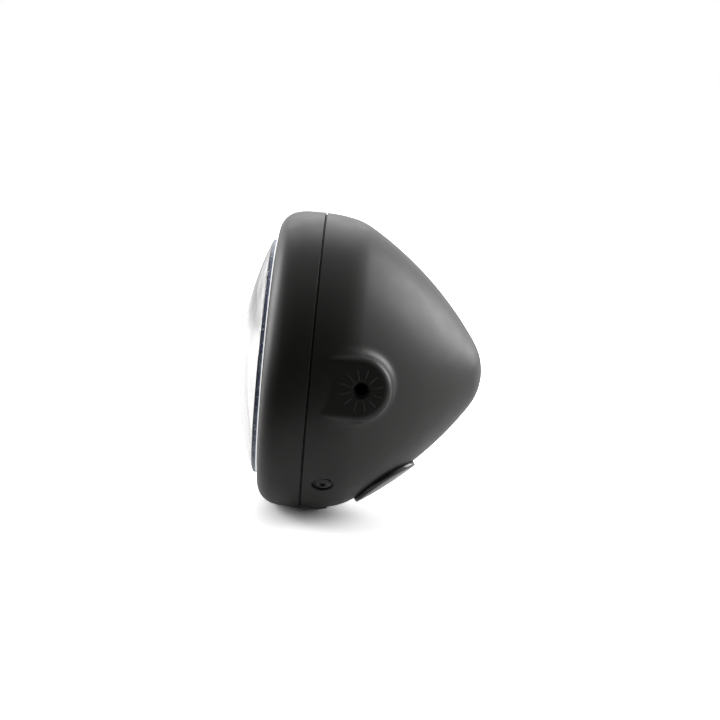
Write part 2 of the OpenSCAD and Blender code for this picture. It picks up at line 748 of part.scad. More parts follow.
module parking_bulb() {
    glass_r = 4.2;
    glass_len = 12;
    tip_h = -plug_front - glass_len;
    color([0.9, 0.92, 0.95, 0.5])
    parking_place() rotate_extrude() polygon(concat([[0, -plug_front], [glass_r, -plug_front]],
        [for (i = [0:4]) let (a = 90 * i / 4) [glass_r * cos(a), tip_h + glass_r - glass_r * sin(a)]]));
}

// The rubber grommet in the bowl's cable hole

module grommet() {
    inner_flange = 2;
    inner_wall = 2;
    collar_wall = 1.6;
    collar_out_r = cable_r + collar_wall;
    collar_h = 1.2;
    half = through / 2;
    color([0.03, 0.03, 0.03])
    difference() {
        union() {
            intersection() {
                grommet_axis() translate([0, 0, -half]) cylinder(r = grommet_r, h = through);
                difference() {
                    bowl_solid(grommet_wall);
                    bowl_solid(0);
                }
            }
            intersection() {
                grommet_axis() translate([0, 0, -half]) cylinder(r = grommet_hole_r, h = through);
                difference() {
                    bowl_solid(grommet_wall / 2);
                    bowl_solid(-bowl_wall - inner_wall / 2);
                }
            }
            intersection() {
                grommet_axis() translate([0, 0, -half])
                    cylinder(r = grommet_hole_r + inner_flange, h = through);
                difference() {
                    bowl_solid(-bowl_wall);
                    bowl_solid(-bowl_wall - inner_wall);
                }
            }
            grommet_axis() cylinder(r = collar_out_r, h = grommet_wall + collar_h);
        }
        grommet_axis() translate([0, 0, -half]) cylinder(r = cable_r, h = through);
    }
}

bowl();
left_bush();
right_bush();
rim_seal();
bezel();
left_lug();
right_lug();
left_screw();
right_screw();
top_hook();
lens_gasket();
lens();
reflector();
retaining_ring();
ring_screws();
bulb_glass();
filaments();
bulb_base();
bulb_terminals();
bulb_clip();
bulb_boot();
parking_holder();
parking_bulb();
grommet();
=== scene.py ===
"""Round motorcycle headlight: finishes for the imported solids, and finished surfaces that stand for
some of them. Everything is in metres in the shared frame: the lens looks along -Y, +Z is up, and
the side bolts' axis is the X axis."""

import json
import math

import bmesh
import bpy
import numpy as np
from mathutils import Matrix, Vector


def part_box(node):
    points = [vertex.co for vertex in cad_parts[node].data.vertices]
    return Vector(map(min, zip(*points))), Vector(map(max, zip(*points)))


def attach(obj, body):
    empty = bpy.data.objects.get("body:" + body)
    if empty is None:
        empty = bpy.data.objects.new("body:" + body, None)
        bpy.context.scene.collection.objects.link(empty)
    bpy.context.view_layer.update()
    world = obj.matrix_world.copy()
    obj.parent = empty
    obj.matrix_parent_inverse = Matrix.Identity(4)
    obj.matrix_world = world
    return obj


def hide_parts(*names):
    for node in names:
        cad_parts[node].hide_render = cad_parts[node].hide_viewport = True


bl_info = {
    "name": "Round headlight",
    "version": (1, 0, 0),
    "blender": (4, 5, 0),
    "location": "View3D > Sidebar > Headlight",
    "description": "A round motorcycle headlight with side bosses, its finishes and a stage",
    "category": "Object",
}

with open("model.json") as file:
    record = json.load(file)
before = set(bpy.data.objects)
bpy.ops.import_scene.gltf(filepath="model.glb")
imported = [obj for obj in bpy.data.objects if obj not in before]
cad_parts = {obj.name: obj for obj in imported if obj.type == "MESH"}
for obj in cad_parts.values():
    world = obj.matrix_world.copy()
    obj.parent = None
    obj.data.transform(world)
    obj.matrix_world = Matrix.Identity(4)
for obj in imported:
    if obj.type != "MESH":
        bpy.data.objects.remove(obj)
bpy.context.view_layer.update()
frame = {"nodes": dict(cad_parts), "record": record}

MM = 0.001
DEG = math.radians(1)
TURN = 2 * math.pi
BOLT_S = 27 * MM  # the side bolts behind the seam

# The seam and the bowl's outline
SEAM_HALF = 0.5 * MM  # from the middle of the seam to the bowl's edge, and to the bezel's
HEADINGS = (1.0, 12.0, 30.5, 56.0, 90.0)  # degrees, at the seam and the ends of the four arcs

# The bowl's grid: where the spacing of its lines changes and the spacing up to there, in mm behind
# the seam, and in degrees from six o'clock on the left and on the right
S_STOPS = ((SEAM_HALF / MM, 0), (1.2, 0.4), (3.8, 0.9), (5.2, 0.5), (9.5, 0.9), (14.4, 0.9),
           (14.6, 0.2), (19.0, 0.9), (20.2, 0.4), (30, 1.2), (66, 1.5), (86, 1.4))
ANGLE_STOPS = ((38, 1.3), (52, 0.8), (69.5, 1.5), (110.5, 1.5), (180, 2.2))
ANGLE_STOPS_RIGHT = ((-180, 0), (-110.5, 2.2), (-69.5, 1.5), (-52, 1.5), (-38, 0.8))
NOSE_LINES = 18

# Blocks of the grid that a feature takes: from and to in mm behind the seam, half angle in degrees
BOSS_BLOCK = (1.7, 52.0, 20.5)
DIMPLE_BLOCK = (3.8, 19.0, 7.0)
CABLE_BLOCK = (-20.6, 18.6, 23.0)  # from the grommet's middle

# The drain louvre: lift of the surface, in mm, at distances behind the seam
LOUVRE_S = (3.8, 6.6, 9.5, 14.4, 14.6, 18.6, 20.2)
LOUVRE_LIFT = (0, 0.49, 0.98, 0.98, -2.1, -1.9, 0)
CHEEK = 1.2  # degrees over which it fades at each end

# The bosses
BOSS_DRAFT = 0.06  # widening of the wall towards its foot
BOSS_SINK = 0.125  # fall of the face towards the seam
BOSS_FOOT = 2.6 * MM  # width of the foot that gets rings of its own
HOLE_EDGE = (0.3, 0.12, 0.03, 0)  # mm outside the hole
HOLE_DROP = (0, -0.03, -0.12, -0.22)  # mm, lift of the face there
HOLE_WALL = (0.8, 1.3)  # mm below the edge

# The serrations
TEETH = 12
TOOTH_HALF = 0.55 * MM  # half the width
TOOTH_FOOT = -0.1 * MM  # lift of the flat underside
TOOTH_SINK = 0.03 * MM  # the ridge's zero below the boss's face

# The screws' dimples: mm beyond the dimple's radius, and mm below the bowl's surface
SCREW_ANGLE = 45 * DEG  # from six o'clock
DIMPLE_DEPTH = 2.2 * MM
DIMPLE_WALL = (0.6, 0.35, 0.15, 0, -0.05, -0.1, -0.2, -0.4, -0.7, -1.1)
DIMPLE_FLOOR = (3.4, 2.9, 2.9)  # mm from the screw's axis
DIMPLE_DROP = (0.03, 0.1, 0.25, 0.45, 1.0, 1.6, 1.9, 2.08, 2.17, 2.2, 2.2, 2.2, 3.0)

# The spigot's section: mm behind the seam, and mm of radius
SPIGOT = ((-4, 78.9), (5, 78.9), (5, 80.25), (-4, 80.25))

# The bezel
BEZEL_WALL = 1.2 * MM
BAND_T = 8 * MM  # straight part in front of the seam
BEND_R, BEND_END = 32 * MM, 14  # radius, and heading in degrees where the corner starts
CORNER_R = 12 * MM
SEAM_ROLL = 0.35 * MM  # rounding at the seam
POSTS = 4
POST_BORE, POST_R, POST_DEEP = 2.0 * MM, 3.4 * MM, 2.4 * MM
POST_LIFT = 1.8 * MM  # the posts' ends behind the lens seat
RING_SCREW_R = 3.6 * MM  # radius of a ring screw's head

# The insert
CRIMP_WALL = 0.7 * MM  # thickness of the reflector's rim round the lens
LIP_FIT = 0.4 * MM  # between that rim and the bezel's lip
LIP_ROLL = 1.2 * MM  # radius of the lip's roll
LENS_BAND = 0.35 * MM  # depth of the ground edge
LENS_WALL = 3 * MM  # thickness of the glass at its edge
LENS_SAG = 4.5 * MM  # the inside's edge behind the outside's

# The side bolts' thread
PITCH, MINOR_R, THREAD_DEPTH = 1.25 * MM, 3.35 * MM, 0.65 * MM

# The stage
WHITE = (1, 1, 1, 1)
SOFT_BOXES = (("rear_box", (-0.55, 1.1, 0.6), 0.9, 12.0), ("top_box", (-0.9, -0.1, 0.9), 1.0, 5.0),
              ("front_box", (-0.45, -1.1, 0.3), 0.8, 9.0))  # name, place, size and power
FLOOR_RADII = (0.0005, 0.3, 1.0, 4.0, 12.0)
SENSOR = 36  # mm


# Outlines: chains of arcs in (distance along the axis, radius)

def arc(start, radius, heading, end_heading, count):
    """Points after start on an arc whose fall towards the axis turns from one heading to the
    other: start + radius * (sin a - sin a0, -(cos a0 - cos a))."""
    a0 = math.radians(heading)
    a = np.radians(np.linspace(heading, end_heading, count + 1)[1:])
    return np.stack([start[0] + radius * (np.sin(a) - math.sin(a0)),
                     start[1] - radius * (math.cos(a0) - np.cos(a))], axis=1)


class BowlOutline:
    """The bowl's outside as four arcs: drum, shoulder, flank and nose. Each arc keeps the centre,
    radius and headings that it spans, so that a distance from the surface can be worked out
    anywhere near it."""

    def __init__(self, p):
        drum_r = p.drum_length / (math.sin(HEADINGS[1] * DEG) - math.sin(HEADINGS[0] * DEG))
        radii = (drum_r, p.shoulder_radius, p.flank_radius, None)
        at = np.array([SEAM_HALF, p.bowl_radius])
        self.arcs = []
        for radius, low, high in zip(radii, HEADINGS, HEADINGS[1:]):
            a0, a1 = math.radians(low), math.radians(high)
            radius = radius or at[1] / math.cos(a0)
            centre = at - radius * np.array([math.sin(a0), math.cos(a0)])
            self.arcs.append((centre, radius, a0, a1))
            at = arc(at, radius, low, high, 1)[0]
        self.tail = at[0]

    def radius_at(self, s):
        """Radius and heading of the surface at distances s behind the seam."""
        s = np.asarray(s, dtype=float)
        heading = np.zeros_like(s)
        radius = np.zeros_like(s)
        for i, (centre, r, a0, _) in enumerate(self.arcs):
            start = centre[0] + r * math.sin(a0)
            inside = s >= start if i else np.ones(s.shape, bool)
            a = np.arcsin(np.clip((s - centre[0]) / r, -1, 1))
            heading = np.where(inside, a, heading)
            radius = np.where(inside, centre[1] + r * np.cos(a), radius)
        return radius, heading

    def side_x(self, points):
        """How far to the left the surface lies at the points' y and z: x = sqrt(r(s)^2 - z^2)."""
        r = self.radius_at(np.clip(points[..., 1] + BOLT_S, SEAM_HALF, None))[0]
        return np.sqrt(np.maximum(r ** 2 - points[..., 2] ** 2, 0))

    def distance(self, q):
        """Signed distance of points from the surface, positive outside, and its normal. Each
        point is measured from the arc whose span of headings it is nearest to."""
        s = q[..., 1] + BOLT_S
        r = np.hypot(q[..., 0], q[..., 2])
        best = None
        for i, (centre, radius, a0, a1) in enumerate(self.arcs):
            ds, dr = s - centre[0], r - centre[1]
            a = np.arctan2(ds, dr)
            low = a0 if i else -1.0
            off = np.maximum(np.maximum(low - a, a - a1), 0)
            d = np.hypot(ds, dr)
            item = (off, d - radius, ds / d, dr / d)
            if best is None:
                best = item
            else:
                closer = off < best[0]
                best = tuple(np.where(closer, n, b) for n, b in zip(item, best))
        _, d, ns, nr = best
        return d, np.stack([nr * q[..., 0] / r, ns, nr * q[..., 2] / r], axis=-1)


# Meshes

def new_object(name, points, quads):
    """An object at the origin whose mesh has these points, in metres, and these faces."""
    mesh = bpy.data.meshes.new(name)
    points = np.asarray(points, dtype=np.float32).reshape(-1, 3)
    faces = np.asarray(quads, dtype=np.int32)
    mesh.vertices.add(len(points))
    mesh.vertices.foreach_set("co", points.ravel())
    mesh.loops.add(faces.size)
    mesh.loops.foreach_set("vertex_index", faces.ravel())
    mesh.polygons.add(len(faces))
    starts = np.arange(len(faces), dtype=np.int32) * faces.shape[1]
    mesh.polygons.foreach_set("loop_start", starts)
    mesh.polygons.foreach_set("use_smooth", np.full(len(faces), True))
    mesh.update(calc_edges=True)
    mesh.validate()
    obj = bpy.data.objects.new(name, mesh)
    bpy.context.scene.collection.objects.link(obj)
    return obj


def grid_faces(rows, columns, wrap_columns=False, wrap_rows=False):
    """Quads of a grid of rows x columns points, closed round either way if asked."""
    i = np.arange(rows if wrap_rows else rows - 1)[:, None]
    j = np.arange(columns if wrap_columns else columns - 1)[None, :]
    a = i * columns + j
    b = i * columns + (j + 1) % columns
    c = ((i + 1) % rows) * columns + (j + 1) % columns
    d = ((i + 1) % rows) * columns + j
    return np.stack([a, b, c, d], axis=-1).reshape(-1, 4)


def around(count):
    """Equal steps of angle once round."""
    return np.linspace(0, TURN, count, endpoint=False)


def axis_point(s, r, angle):
    """Points from the distance behind the seam, the radius and the angle from six o'clock towards
    the left side: (r sin angle, s - bolt distance, -r cos angle)."""
    parts = np.broadcast_arrays(r * np.sin(angle), s - BOLT_S, -r * np.cos(angle))
    return np.stack(parts, axis=-1)


def revolve(profile, count, closed=True):
    """Points and faces of a surface of revolution about the lamp's axis: each (s, r) of the
    profile carried round a circle. A closed profile is a ring's section; an open one starts and
    ends on the axis."""
    s, r = np.asarray(profile, dtype=float).T[:, :, None]
    points = axis_point(s, r, around(count)[None, :])
    return points, grid_faces(len(s), count, wrap_columns=True, wrap_rows=closed)


def turned(name, profile, count=192, closed=True, sharp=40):
    """A finished object from a profile carried round the lamp's axis."""
    return shade_by_angle(finish_mesh(new_object(name, *revolve(profile, count, closed))), sharp)


def finish_mesh(obj, merge=1e-6):
    """Merges doubled points, closes poles and points every face outwards."""
    bm = bmesh.new()
    bm.from_mesh(obj.data)
    bmesh.ops.remove_doubles(bm, verts=bm.verts, dist=merge)
    bmesh.ops.dissolve_degenerate(bm, dist=merge, edges=bm.edges)
    bmesh.ops.recalc_face_normals(bm, faces=bm.faces)
    bm.to_mesh(obj.data)
    bm.free()
    obj.data.update()
    return obj


def rounded(profile, radius, steps=4):
    """A closed polygon of (s, r) points with its corners rounded: each corner c is replaced by
    b(t) = (1-t)^2 p + 2t(1-t) c + t^2 q between points p and q, radius away along both sides."""
    pts = np.asarray(profile, dtype=float)
    before, after = np.roll(pts, 1, axis=0) - pts, np.roll(pts, -1, axis=0) - pts
    p = pts + before / np.linalg.norm(before, axis=1)[:, None] * radius
    q = pts + after / np.linalg.norm(after, axis=1)[:, None] * radius
    t = np.linspace(0, 1, steps + 1)[None, :, None]
    curve = (1 - t) ** 2 * p[:, None] + 2 * t * (1 - t) * pts[:, None] + t ** 2 * q[:, None]
    return curve.reshape(-1, 2)


def thicken(obj, wall):
    """Gives an open sheet a wall on its inner side, baked into its mesh. The faces are first
    turned away from the lamp's middle, judged by their normals."""
    normals, centres = np.empty((2, len(obj.data.polygons) * 3), np.float32)
    obj.data.polygons.foreach_get("normal", normals)
    obj.data.polygons.foreach_get("center", centres)
    if np.sum(normals * centres) < 0:
        obj.data.flip_normals()
    modifier = obj.modifiers.new("wall", "SOLIDIFY")
    modifier.thickness = wall
    modifier.offset = -1
    graph = bpy.context.evaluated_depsgraph_get()
    mesh = bpy.data.meshes.new_from_object(obj.evaluated_get(graph))
    obj.modifiers.clear()
    old, obj.data = obj.data, mesh
    bpy.data.meshes.remove(old)
    return obj


def shade_by_angle(obj, degrees):
    """Smooth shading, with edges sharper than the angle left sharp."""
    with bpy.context.temp_override(object=obj, active_object=obj, selected_objects=[obj],
                                   selected_editable_objects=[obj]):
        bpy.ops.object.shade_smooth_by_angle(angle=math.radians(degrees))
    return obj


class Sheet:
    """A sheet of quads built up from blocks of points."""

    def __init__(self):
        self.points, self.faces, self.count = [], [], 0

    def add(self, points, faces):
        self.points.append(points.reshape(-1, 3))
        self.faces.append(faces + self.count)
        self.count += len(self.points[-1])

    def add_rings(self, rings):
        """Joins rings of equally many points, each one closed."""
        self.add(rings, grid_faces(*rings.shape[:2], wrap_columns=True))

    def make(self, name):
        return new_object(name, np.concatenate(self.points), np.concatenate(self.faces))


# Materials

class Nodes:
    """A node tree with a short way to add a node and to feed its inputs."""

    def __init__(self, owner, clear=True):
        owner.use_nodes = True
        self.tree = owner.node_tree
        if clear:
            self.tree.nodes.clear()

    def feed(self, socket, value):
        """Links an output to a socket, or writes a plain value on it."""
        if isinstance(value, bpy.types.NodeSocket):
            self.tree.links.new(value, socket)
        else:
            socket.default_value = value

    def add(self, kind, inputs, output, **attributes):
        """A new node with these attributes and inputs. Gives the named output."""
        node = self.tree.nodes.new("ShaderNode" + kind)
        for key, value in attributes.items():
            setattr(node, key, value)
        for key, value in inputs.items():
            self.feed(node.inputs[key], value)
        return node.outputs[output]

    def show(self, kind, shader):
        """Ends the tree with an output node for a surface."""
        self.feed(self.tree.nodes.new(kind).inputs["Surface"], shader)

    def coords(self, output="Object"):
        """Coordinates of the point that is shaded."""
        return self.add("TexCoord", {}, output)

    def noise(self, scale, detail=3.0, stretch=(1, 1, 1)):
        """A noise pattern on object coordinates, with scale in waves a metre."""
        place = self.add("Mapping", {"Vector": self.coords(), "Scale": stretch}, "Vector")
        return self.add("TexNoise", {"Vector": place, "Scale": scale, "Detail": detail}, "Fac")

    def spread(self, fac, low, high, start=0.3, end=0.7, curve="LINEAR"):
        """Maps a pattern from start..end to low..high."""
        values = {"Value": fac, "From Min": start, "From Max": end, "To Min": low, "To Max": high}
        return self.add("MapRange", values, "Result", interpolation_type=curve)

    def ramp(self, value, between, levels):
        """A smooth change of level between two values."""
        return self.spread(value, *levels, *between, "SMOOTHSTEP")

    def tint(self, fac, low, high):
        """Blends two colours by a pattern."""
        colours = {"A": (*low, 1.0), "B": (*high, 1.0), "Factor": fac}
        return self.add("Mix", colours, "Result", data_type="RGBA")

    def maths(self, operation, *values):
        """One step of arithmetic."""
        return self.add("Math", dict(enumerate(values)), "Value", operation=operation)


class Finish(Nodes):
    """A material. Its plain values stand on the shader's own sockets, and patterns on object
    coordinates are linked to the others."""

    def __init__(self, name, colour, roughness, metallic=0.0, specular=0.5):
        self.mat = bpy.data.materials.new(name)
        super().__init__(self.mat, clear=False)
        self.shader = self.tree.nodes["Principled BSDF"]
        self.set("Base Color", (*colour, 1.0))
        self.set("Roughness", roughness)
        self.set("Metallic", metallic)
        self.set("Specular IOR Level", specular)

    def set(self, key, value):
        """Feeds one of the shader's sockets."""
        self.feed(self.shader.inputs[key], value)

    def bump(self, fac, strength, distance):
        """Raises the shader's normal by a pattern, with the height in metres."""
        values = {"Strength": strength, "Distance": distance, "Height": fac}
        self.set("Normal", self.add("Bump", values, "Normal"))


def satin_black_paint():
    """Powder-like satin black: a fine orange-peel bump, and slow drift in colour and roughness."""
    p = bpy.context.scene.headlight_finish
    base, rough = p.paint[:], p.paint_roughness
    f = Finish("satin_black_paint", base, rough)
    f.set("Base Color", f.tint(f.spread(f.noise(24, 2), 0, 1), [c * 0.9 for c in base],
                               [c * 1.12 for c in base]))
    f.set("Roughness", f.spread(f.noise(90, 4), rough - 0.03, rough + 0.03))
    f.bump(f.noise(1500, 2), 0.12, 0.00004)
    return f.mat


def matt_rubber():
    """Black moulded rubber with a fine grain and paler scuffs."""
    f = Finish("matt_rubber", (0.012, 0.012, 0.012), 0.6, specular=0.4)
    scuff = f.noise(160, 5)
    f.set("Base Color", f.tint(f.spread(scuff, 0, 1, 0.45, 0.75), (0.011, 0.011, 0.011),
                               (0.024, 0.024, 0.023)))
    f.set("Roughness", f.spread(scuff, 0.5, 0.64))
    f.bump(f.noise(900, 3), 0.25, 0.00006)
    return f.mat


def moulded_rubber():
    """Denser rubber with the shine of its mould, smeared here and there."""
    f = Finish("moulded_rubber", (0.014, 0.014, 0.014), 0.13, specular=0.8)
    smear = f.noise(130, 3)
    f.set("Base Color", f.tint(f.spread(smear, 0, 1, 0.4, 0.7), (0.012, 0.012, 0.012),
                               (0.02, 0.02, 0.019)))
    f.set("Roughness", f.spread(smear, 0.09, 0.18))
    f.bump(f.noise(1200, 2), 0.08, 0.00003)
    return f.mat


def zinc_plate():
    """Zinc-plated steel: dull grey metal, cloudy and slightly yellow in places."""
    f = Finish("zinc_plate", (0.6, 0.6, 0.58), 0.38, 1.0)
    cloud = f.noise(120, 4)
    f.set("Base Color", f.tint(f.spread(cloud, 0, 1), (0.5, 0.5, 0.5), (0.66, 0.64, 0.57)))
    f.set("Roughness", f.spread(cloud, 0.3, 0.48))
    f.bump(f.noise(1800, 2), 0.15, 0.00002)
    return f.mat


def black_steel():
    """Black-coated screw steel, rubbed a little paler in patches."""
    f = Finish("black_steel", (0.02, 0.02, 0.019), 0.34)
    rub = f.noise(400, 4)
    f.set("Base Color", f.tint(f.spread(rub, 0, 1, 0.5, 0.8), (0.016, 0.016, 0.015),
                               (0.06, 0.058, 0.052)))
    f.set("Roughness", f.spread(rub, 0.28, 0.42))
    return f.mat


def ground_edge():
    """The lens's ground edge under the crimp: bluish grey, navy in patches, with pale specks that
    are painted glints."""
    f = Finish("ground_edge", (0.2, 0.25, 0.34), 0.4)
    mottle = f.spread(f.noise(55, 3, (1, 0.2, 1)), 0, 1, 0.42, 0.6)
    base = f.tint(mottle, (0.1, 0.13, 0.21), (0.26, 0.31, 0.38))
    # Painted highlight: pale specks that stand in for glints on the edge.
    painted_glints = f.spread(f.noise(900, 2), 0, 1, 0.62, 0.68)
    colours = {"A": base, "B": (0.85, 0.87, 0.9, 1), "Factor": painted_glints}
    f.set("Base Color", f.add("Mix", colours, "Result", data_type="RGBA"))
    f.bump(f.noise(2500, 2), 0.2, 0.00003)
    return f.mat


def clear_glass():
    """Pressed glass: clear, with a breath of haze in places."""
    f = Finish("clear_glass", (1.0, 1.0, 1.0), 0.0)
    f.set("Transmission Weight", 1.0)
    f.set("IOR", 1.5)
    f.set("Roughness", f.spread(f.noise(70, 4), 0.0, 0.02, 0.5, 0.75))
    return f.mat


def quartz_glass():
    """Thin clear bulb glass."""
    f = Finish("quartz_glass", (0.98, 0.99, 1.0), 0.0)
    f.set("Transmission Weight", 1.0)
    f.set("IOR", 1.46)
    f.bump(f.noise(80, 1), 0.03, 0.0001)
    return f.mat


def mirror_coat():
    """Vapour-coated mirror: bright, with a trace of haze. Outside the mirror the crimped rim is
    matt and white, and glows a little as a painted highlight, though it is no lamp:
    rim = (hypot(x, z) - start) / (end - start)."""
    f = Finish("mirror_coat", (0.93, 0.93, 0.92), 0.05, 1.0)
    flat = f.add("VectorMath", {0: f.coords(), 1: (1, 0, 1)}, "Vector", operation="MULTIPLY")
    radius = f.add("VectorMath", {0: flat}, "Value", operation="LENGTH")
    end = bpy.context.scene.headlight_sizes.lens_radius
    rim = f.spread(radius, 0, 1, end - 0.3 * MM, end)
    f.set("Base Color", f.tint(rim, (0.93, 0.93, 0.92), (0.97, 0.97, 0.97)))
    haze = f.spread(f.noise(60, 3), 0.03, 0.07)
    f.set("Roughness", f.maths("MULTIPLY_ADD", rim, 0.5, haze))
    f.set("Metallic", f.spread(rim, 1, 0, 0, 1))
    # Painted highlight: the crimped rim emits light of its own, though it is no lamp.
    f.set("Emission Strength", f.spread(rim, 0, 0.75, 0, 1))
    f.set("Emission Color", WHITE)
    f.bump(f.noise(45, 1), 0.04, 0.0002)
    return f.mat


def bright_wire():
    """Drawn steel wire, brighter and duller in fine patches."""
    f = Finish("bright_wire", (0.66, 0.66, 0.66), 0.26, 1.0)
    f.set("Roughness", f.spread(f.noise(700, 3), 0.2, 0.34))
    return f.mat


def tinned_brass():
    """Tinned brass blades, yellow where the tin is thin."""
    f = Finish("tinned_brass", (0.72, 0.66, 0.5), 0.34, 1.0)
    patch = f.spread(f.noise(300, 3), 0, 1)
    f.set("Base Color", f.tint(patch, (0.7, 0.68, 0.62), (0.74, 0.62, 0.38)))
    return f.mat


FINISHES = {
    "black_paint": satin_black_paint, "rubber": matt_rubber, "plated_steel": zinc_plate,
    "black_screw": black_steel, "clear_glass": clear_glass, "bulb_glass": quartz_glass,
    "mirror_coat": mirror_coat, "spring_wire": bright_wire, "filament_wire": bright_wire,
    "terminal_brass": tinned_brass,
}


def dress(obj, slot):
    """Gives an object the one material of its slot, which is made once."""
    key = "slot_" + slot
    if key not in bpy.data.materials:
        FINISHES[slot]().name = key
    obj.data.materials.clear()
    obj.data.materials.append(bpy.data.materials[key])


def add_piece(obj, slot, *nodes):
    """Gives a finished piece its material, slot and body. It takes the place of its CAD nodes, if
    there are any."""
    dress(obj, slot)
    if nodes:
        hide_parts(*nodes)
    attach(obj, "root")
    return obj


# The bowl

def smooth_union(a, na, b, nb, reach):
    """Joins two signed distances with a fairing that is wide where they meet at an angle and none
    where they run side by side: min(a, b) - h^2 k / 4, with k = reach (1 - na . nb) and
    h = max(k - |a - b|, 0) / k."""
    k = np.maximum(reach * (1 - np.sum(na * nb, axis=-1)), 1e-7)
    h = np.maximum(k - np.abs(a - b), 0) / k
    return np.minimum(a, b) - h * h * k / 4


class BowlForm:
    """The bowl's outside: the turned outline joined to a boss on each side. A boss is a stadium
    that runs forward to the seam, and its face sinks in front of the round part."""

    def __init__(self, p):
        self.line = BowlOutline(p)
        self.face_x = p.boss_span / 2
        self.boss_r = p.boss_radius
        self.ahead = p.boss_ahead
        self.edge = p.boss_edge
        self.reach = p.fairing

    def value(self, q):
        """Signed distance of points from the outside, near the left boss. The boss is the
        stadium's wall and face joined by a rounding: |(side, top)+| + min(max(side, top), 0)."""
        shell, na = self.line.distance(q)
        behind = np.maximum(q[..., 1] + self.ahead, 0)
        rho = np.hypot(behind, q[..., 2])
        sink = BOSS_SINK * np.maximum(self.edge - self.boss_r - q[..., 1], 0)
        depth = np.clip(self.face_x - self.edge - q[..., 0], 0, None)
        side = rho - self.boss_r - depth * BOSS_DRAFT + self.edge
        top = q[..., 0] - self.face_x + self.edge + sink
        so, to = np.maximum(side, 0), np.maximum(top, 0)
        corner = np.hypot(so, to)
        boss = np.minimum(np.maximum(side, top), 0) + corner - self.edge
        outside, size = corner > 1e-9, np.maximum(corner, 1e-9)
        use_side = np.where(outside, so / size, (side > top).astype(float))
        use_top = np.where(outside, to / size, (side <= top).astype(float))
        inv = 1 / np.maximum(rho, 1e-9)
        nb = np.stack([use_top, use_side * behind * inv, use_side * q[..., 2] * inv], axis=-1)
        return smooth_union(shell, na, boss, nb, self.reach)

    def project(self, q, steps=14, h=2e-6, pace=0.8):
        """Moves points onto the outside along the slope of the distance:
        q - pace v g / max(g . g, 0.2), with the slope g from differences over 2h."""
        q = q.copy()
        for _ in range(steps):
            g = np.stack([(self.value(q + e * h) - self.value(q - e * h)) / (2 * h)
                          for e in np.eye(3)], axis=-1)
            share = self.value(q) / np.maximum(np.sum(g * g, axis=-1), 0.2)
            q -= share[..., None] * g * pace
        return q


def lines_between(stops):
    """Grid lines from (value, spacing) stops: evenly spread between two stops, at about the
    spacing of the second."""
    out = [stops[:1, 0]]
    for (a, _), (b, gap) in zip(stops[:-1], stops[1:]):
        count = max(1, int(round(abs(b - a) / gap)))
        out.append(np.linspace(a, b, count + 1)[1:])
    return np.concatenate(out)


def find_line(lines, value):
    """The index of the grid line nearest a value."""
    return int(np.argmin(np.abs(lines - value)))


def block_rim(s, a):
    """The (s, angle) values round a rectangular block of grid lines, from its first corner."""
    rim_s = np.concatenate([np.full(len(a), s[0]), s[1:], np.full(len(a) - 1, s[-1]), s[-2:0:-1]])
    rim_a = np.concatenate([a, np.full(len(s) - 1, a[-1]), a[-2::-1], np.full(len(s) - 2, a[0])])
    return rim_s, rim_a


def bowl_surface(p):
    """The bowl's outside as one sheet. A grid of distance behind the seam by angle covers it, and
    each feature has a block of rings in place of a rectangle of the grid, from the rectangle's rim
    to the feature's own circle."""
    form = BowlForm(p)
    line = form.line
    s_lines = lines_between(np.array(S_STOPS) * MM)
    centre, nose_r, _, end_a = line.arcs[3]
    start_a = math.asin((s_lines[-1] - centre[0]) / nose_r)
    nose_a = start_a + (end_a - start_a) * np.linspace(0, 1, NOSE_LINES)[1:]
    s_lines = np.concatenate([s_lines, centre[0] + nose_r * np.sin(nose_a)])
    half = p.louvre_half / DEG
    middle = ((-half - CHEEK, 1.5), (-half, 0.4), (half, 1.1), (half + CHEEK, 0.4))
    a_lines = lines_between(np.array(ANGLE_STOPS_RIGHT + middle + ANGLE_STOPS) * DEG)
    s, a = np.meshgrid(s_lines, a_lines, indexing="ij")
    grid = axis_point(s, line.radius_at(s)[0] + louvre_height(p, s, a), a)
    grid[-1] = axis_point(line.tail, 0, a_lines)
    taken = np.zeros((len(s_lines) - 1, len(a_lines) - 1), bool)

    def block(extent, angle, middle_s=0):
        """Takes a rectangle out of the grid, and gives its rim."""
        low, high, wide = extent
        i0, i1 = (find_line(s_lines, middle_s + edge * MM) for edge in (low, high))
        j0, j1 = (find_line(a_lines, angle + edge * DEG) for edge in (-wide, wide))
        taken[i0:i1, j0:j1] = True
        rim_s, rim_a = block_rim(s_lines[i0:i1 + 1], a_lines[j0:j1 + 1])
        return axis_point(rim_s, line.radius_at(rim_s)[0], rim_a)

    sheet = Sheet()
    for side in (-1, 1):
        sheet.add_rings(boss_rings(form, p, side, block(BOSS_BLOCK, side * 90 * DEG)))
        rim = block(DIMPLE_BLOCK, side * SCREW_ANGLE)
        sheet.add_rings(dimple_rings(line, p, side, rim))
    rim = block(CABLE_BLOCK, p.grommet_angle, p.grommet_s)
    sheet.add_rings(cable_hole_rings(line, p, rim))
    faces = grid_faces(*grid.shape[:2]).reshape(*taken.shape, 4)
    sheet.add(grid, faces[~taken])
    return sheet.make("bowl_skin")


def louvre_height(p, s, a):
    """How far the drain louvre lifts the bowl's surface: a ramp to the lip, level to its edge,
    then a sunk floor that runs out, all faded over a narrow cheek at each end."""
    lip = np.interp(s / MM, LOUVRE_S, LOUVRE_LIFT) * MM
    return lip * np.interp(np.abs(a), [p.louvre_half, p.louvre_half + CHEEK * DEG], [1, 0])


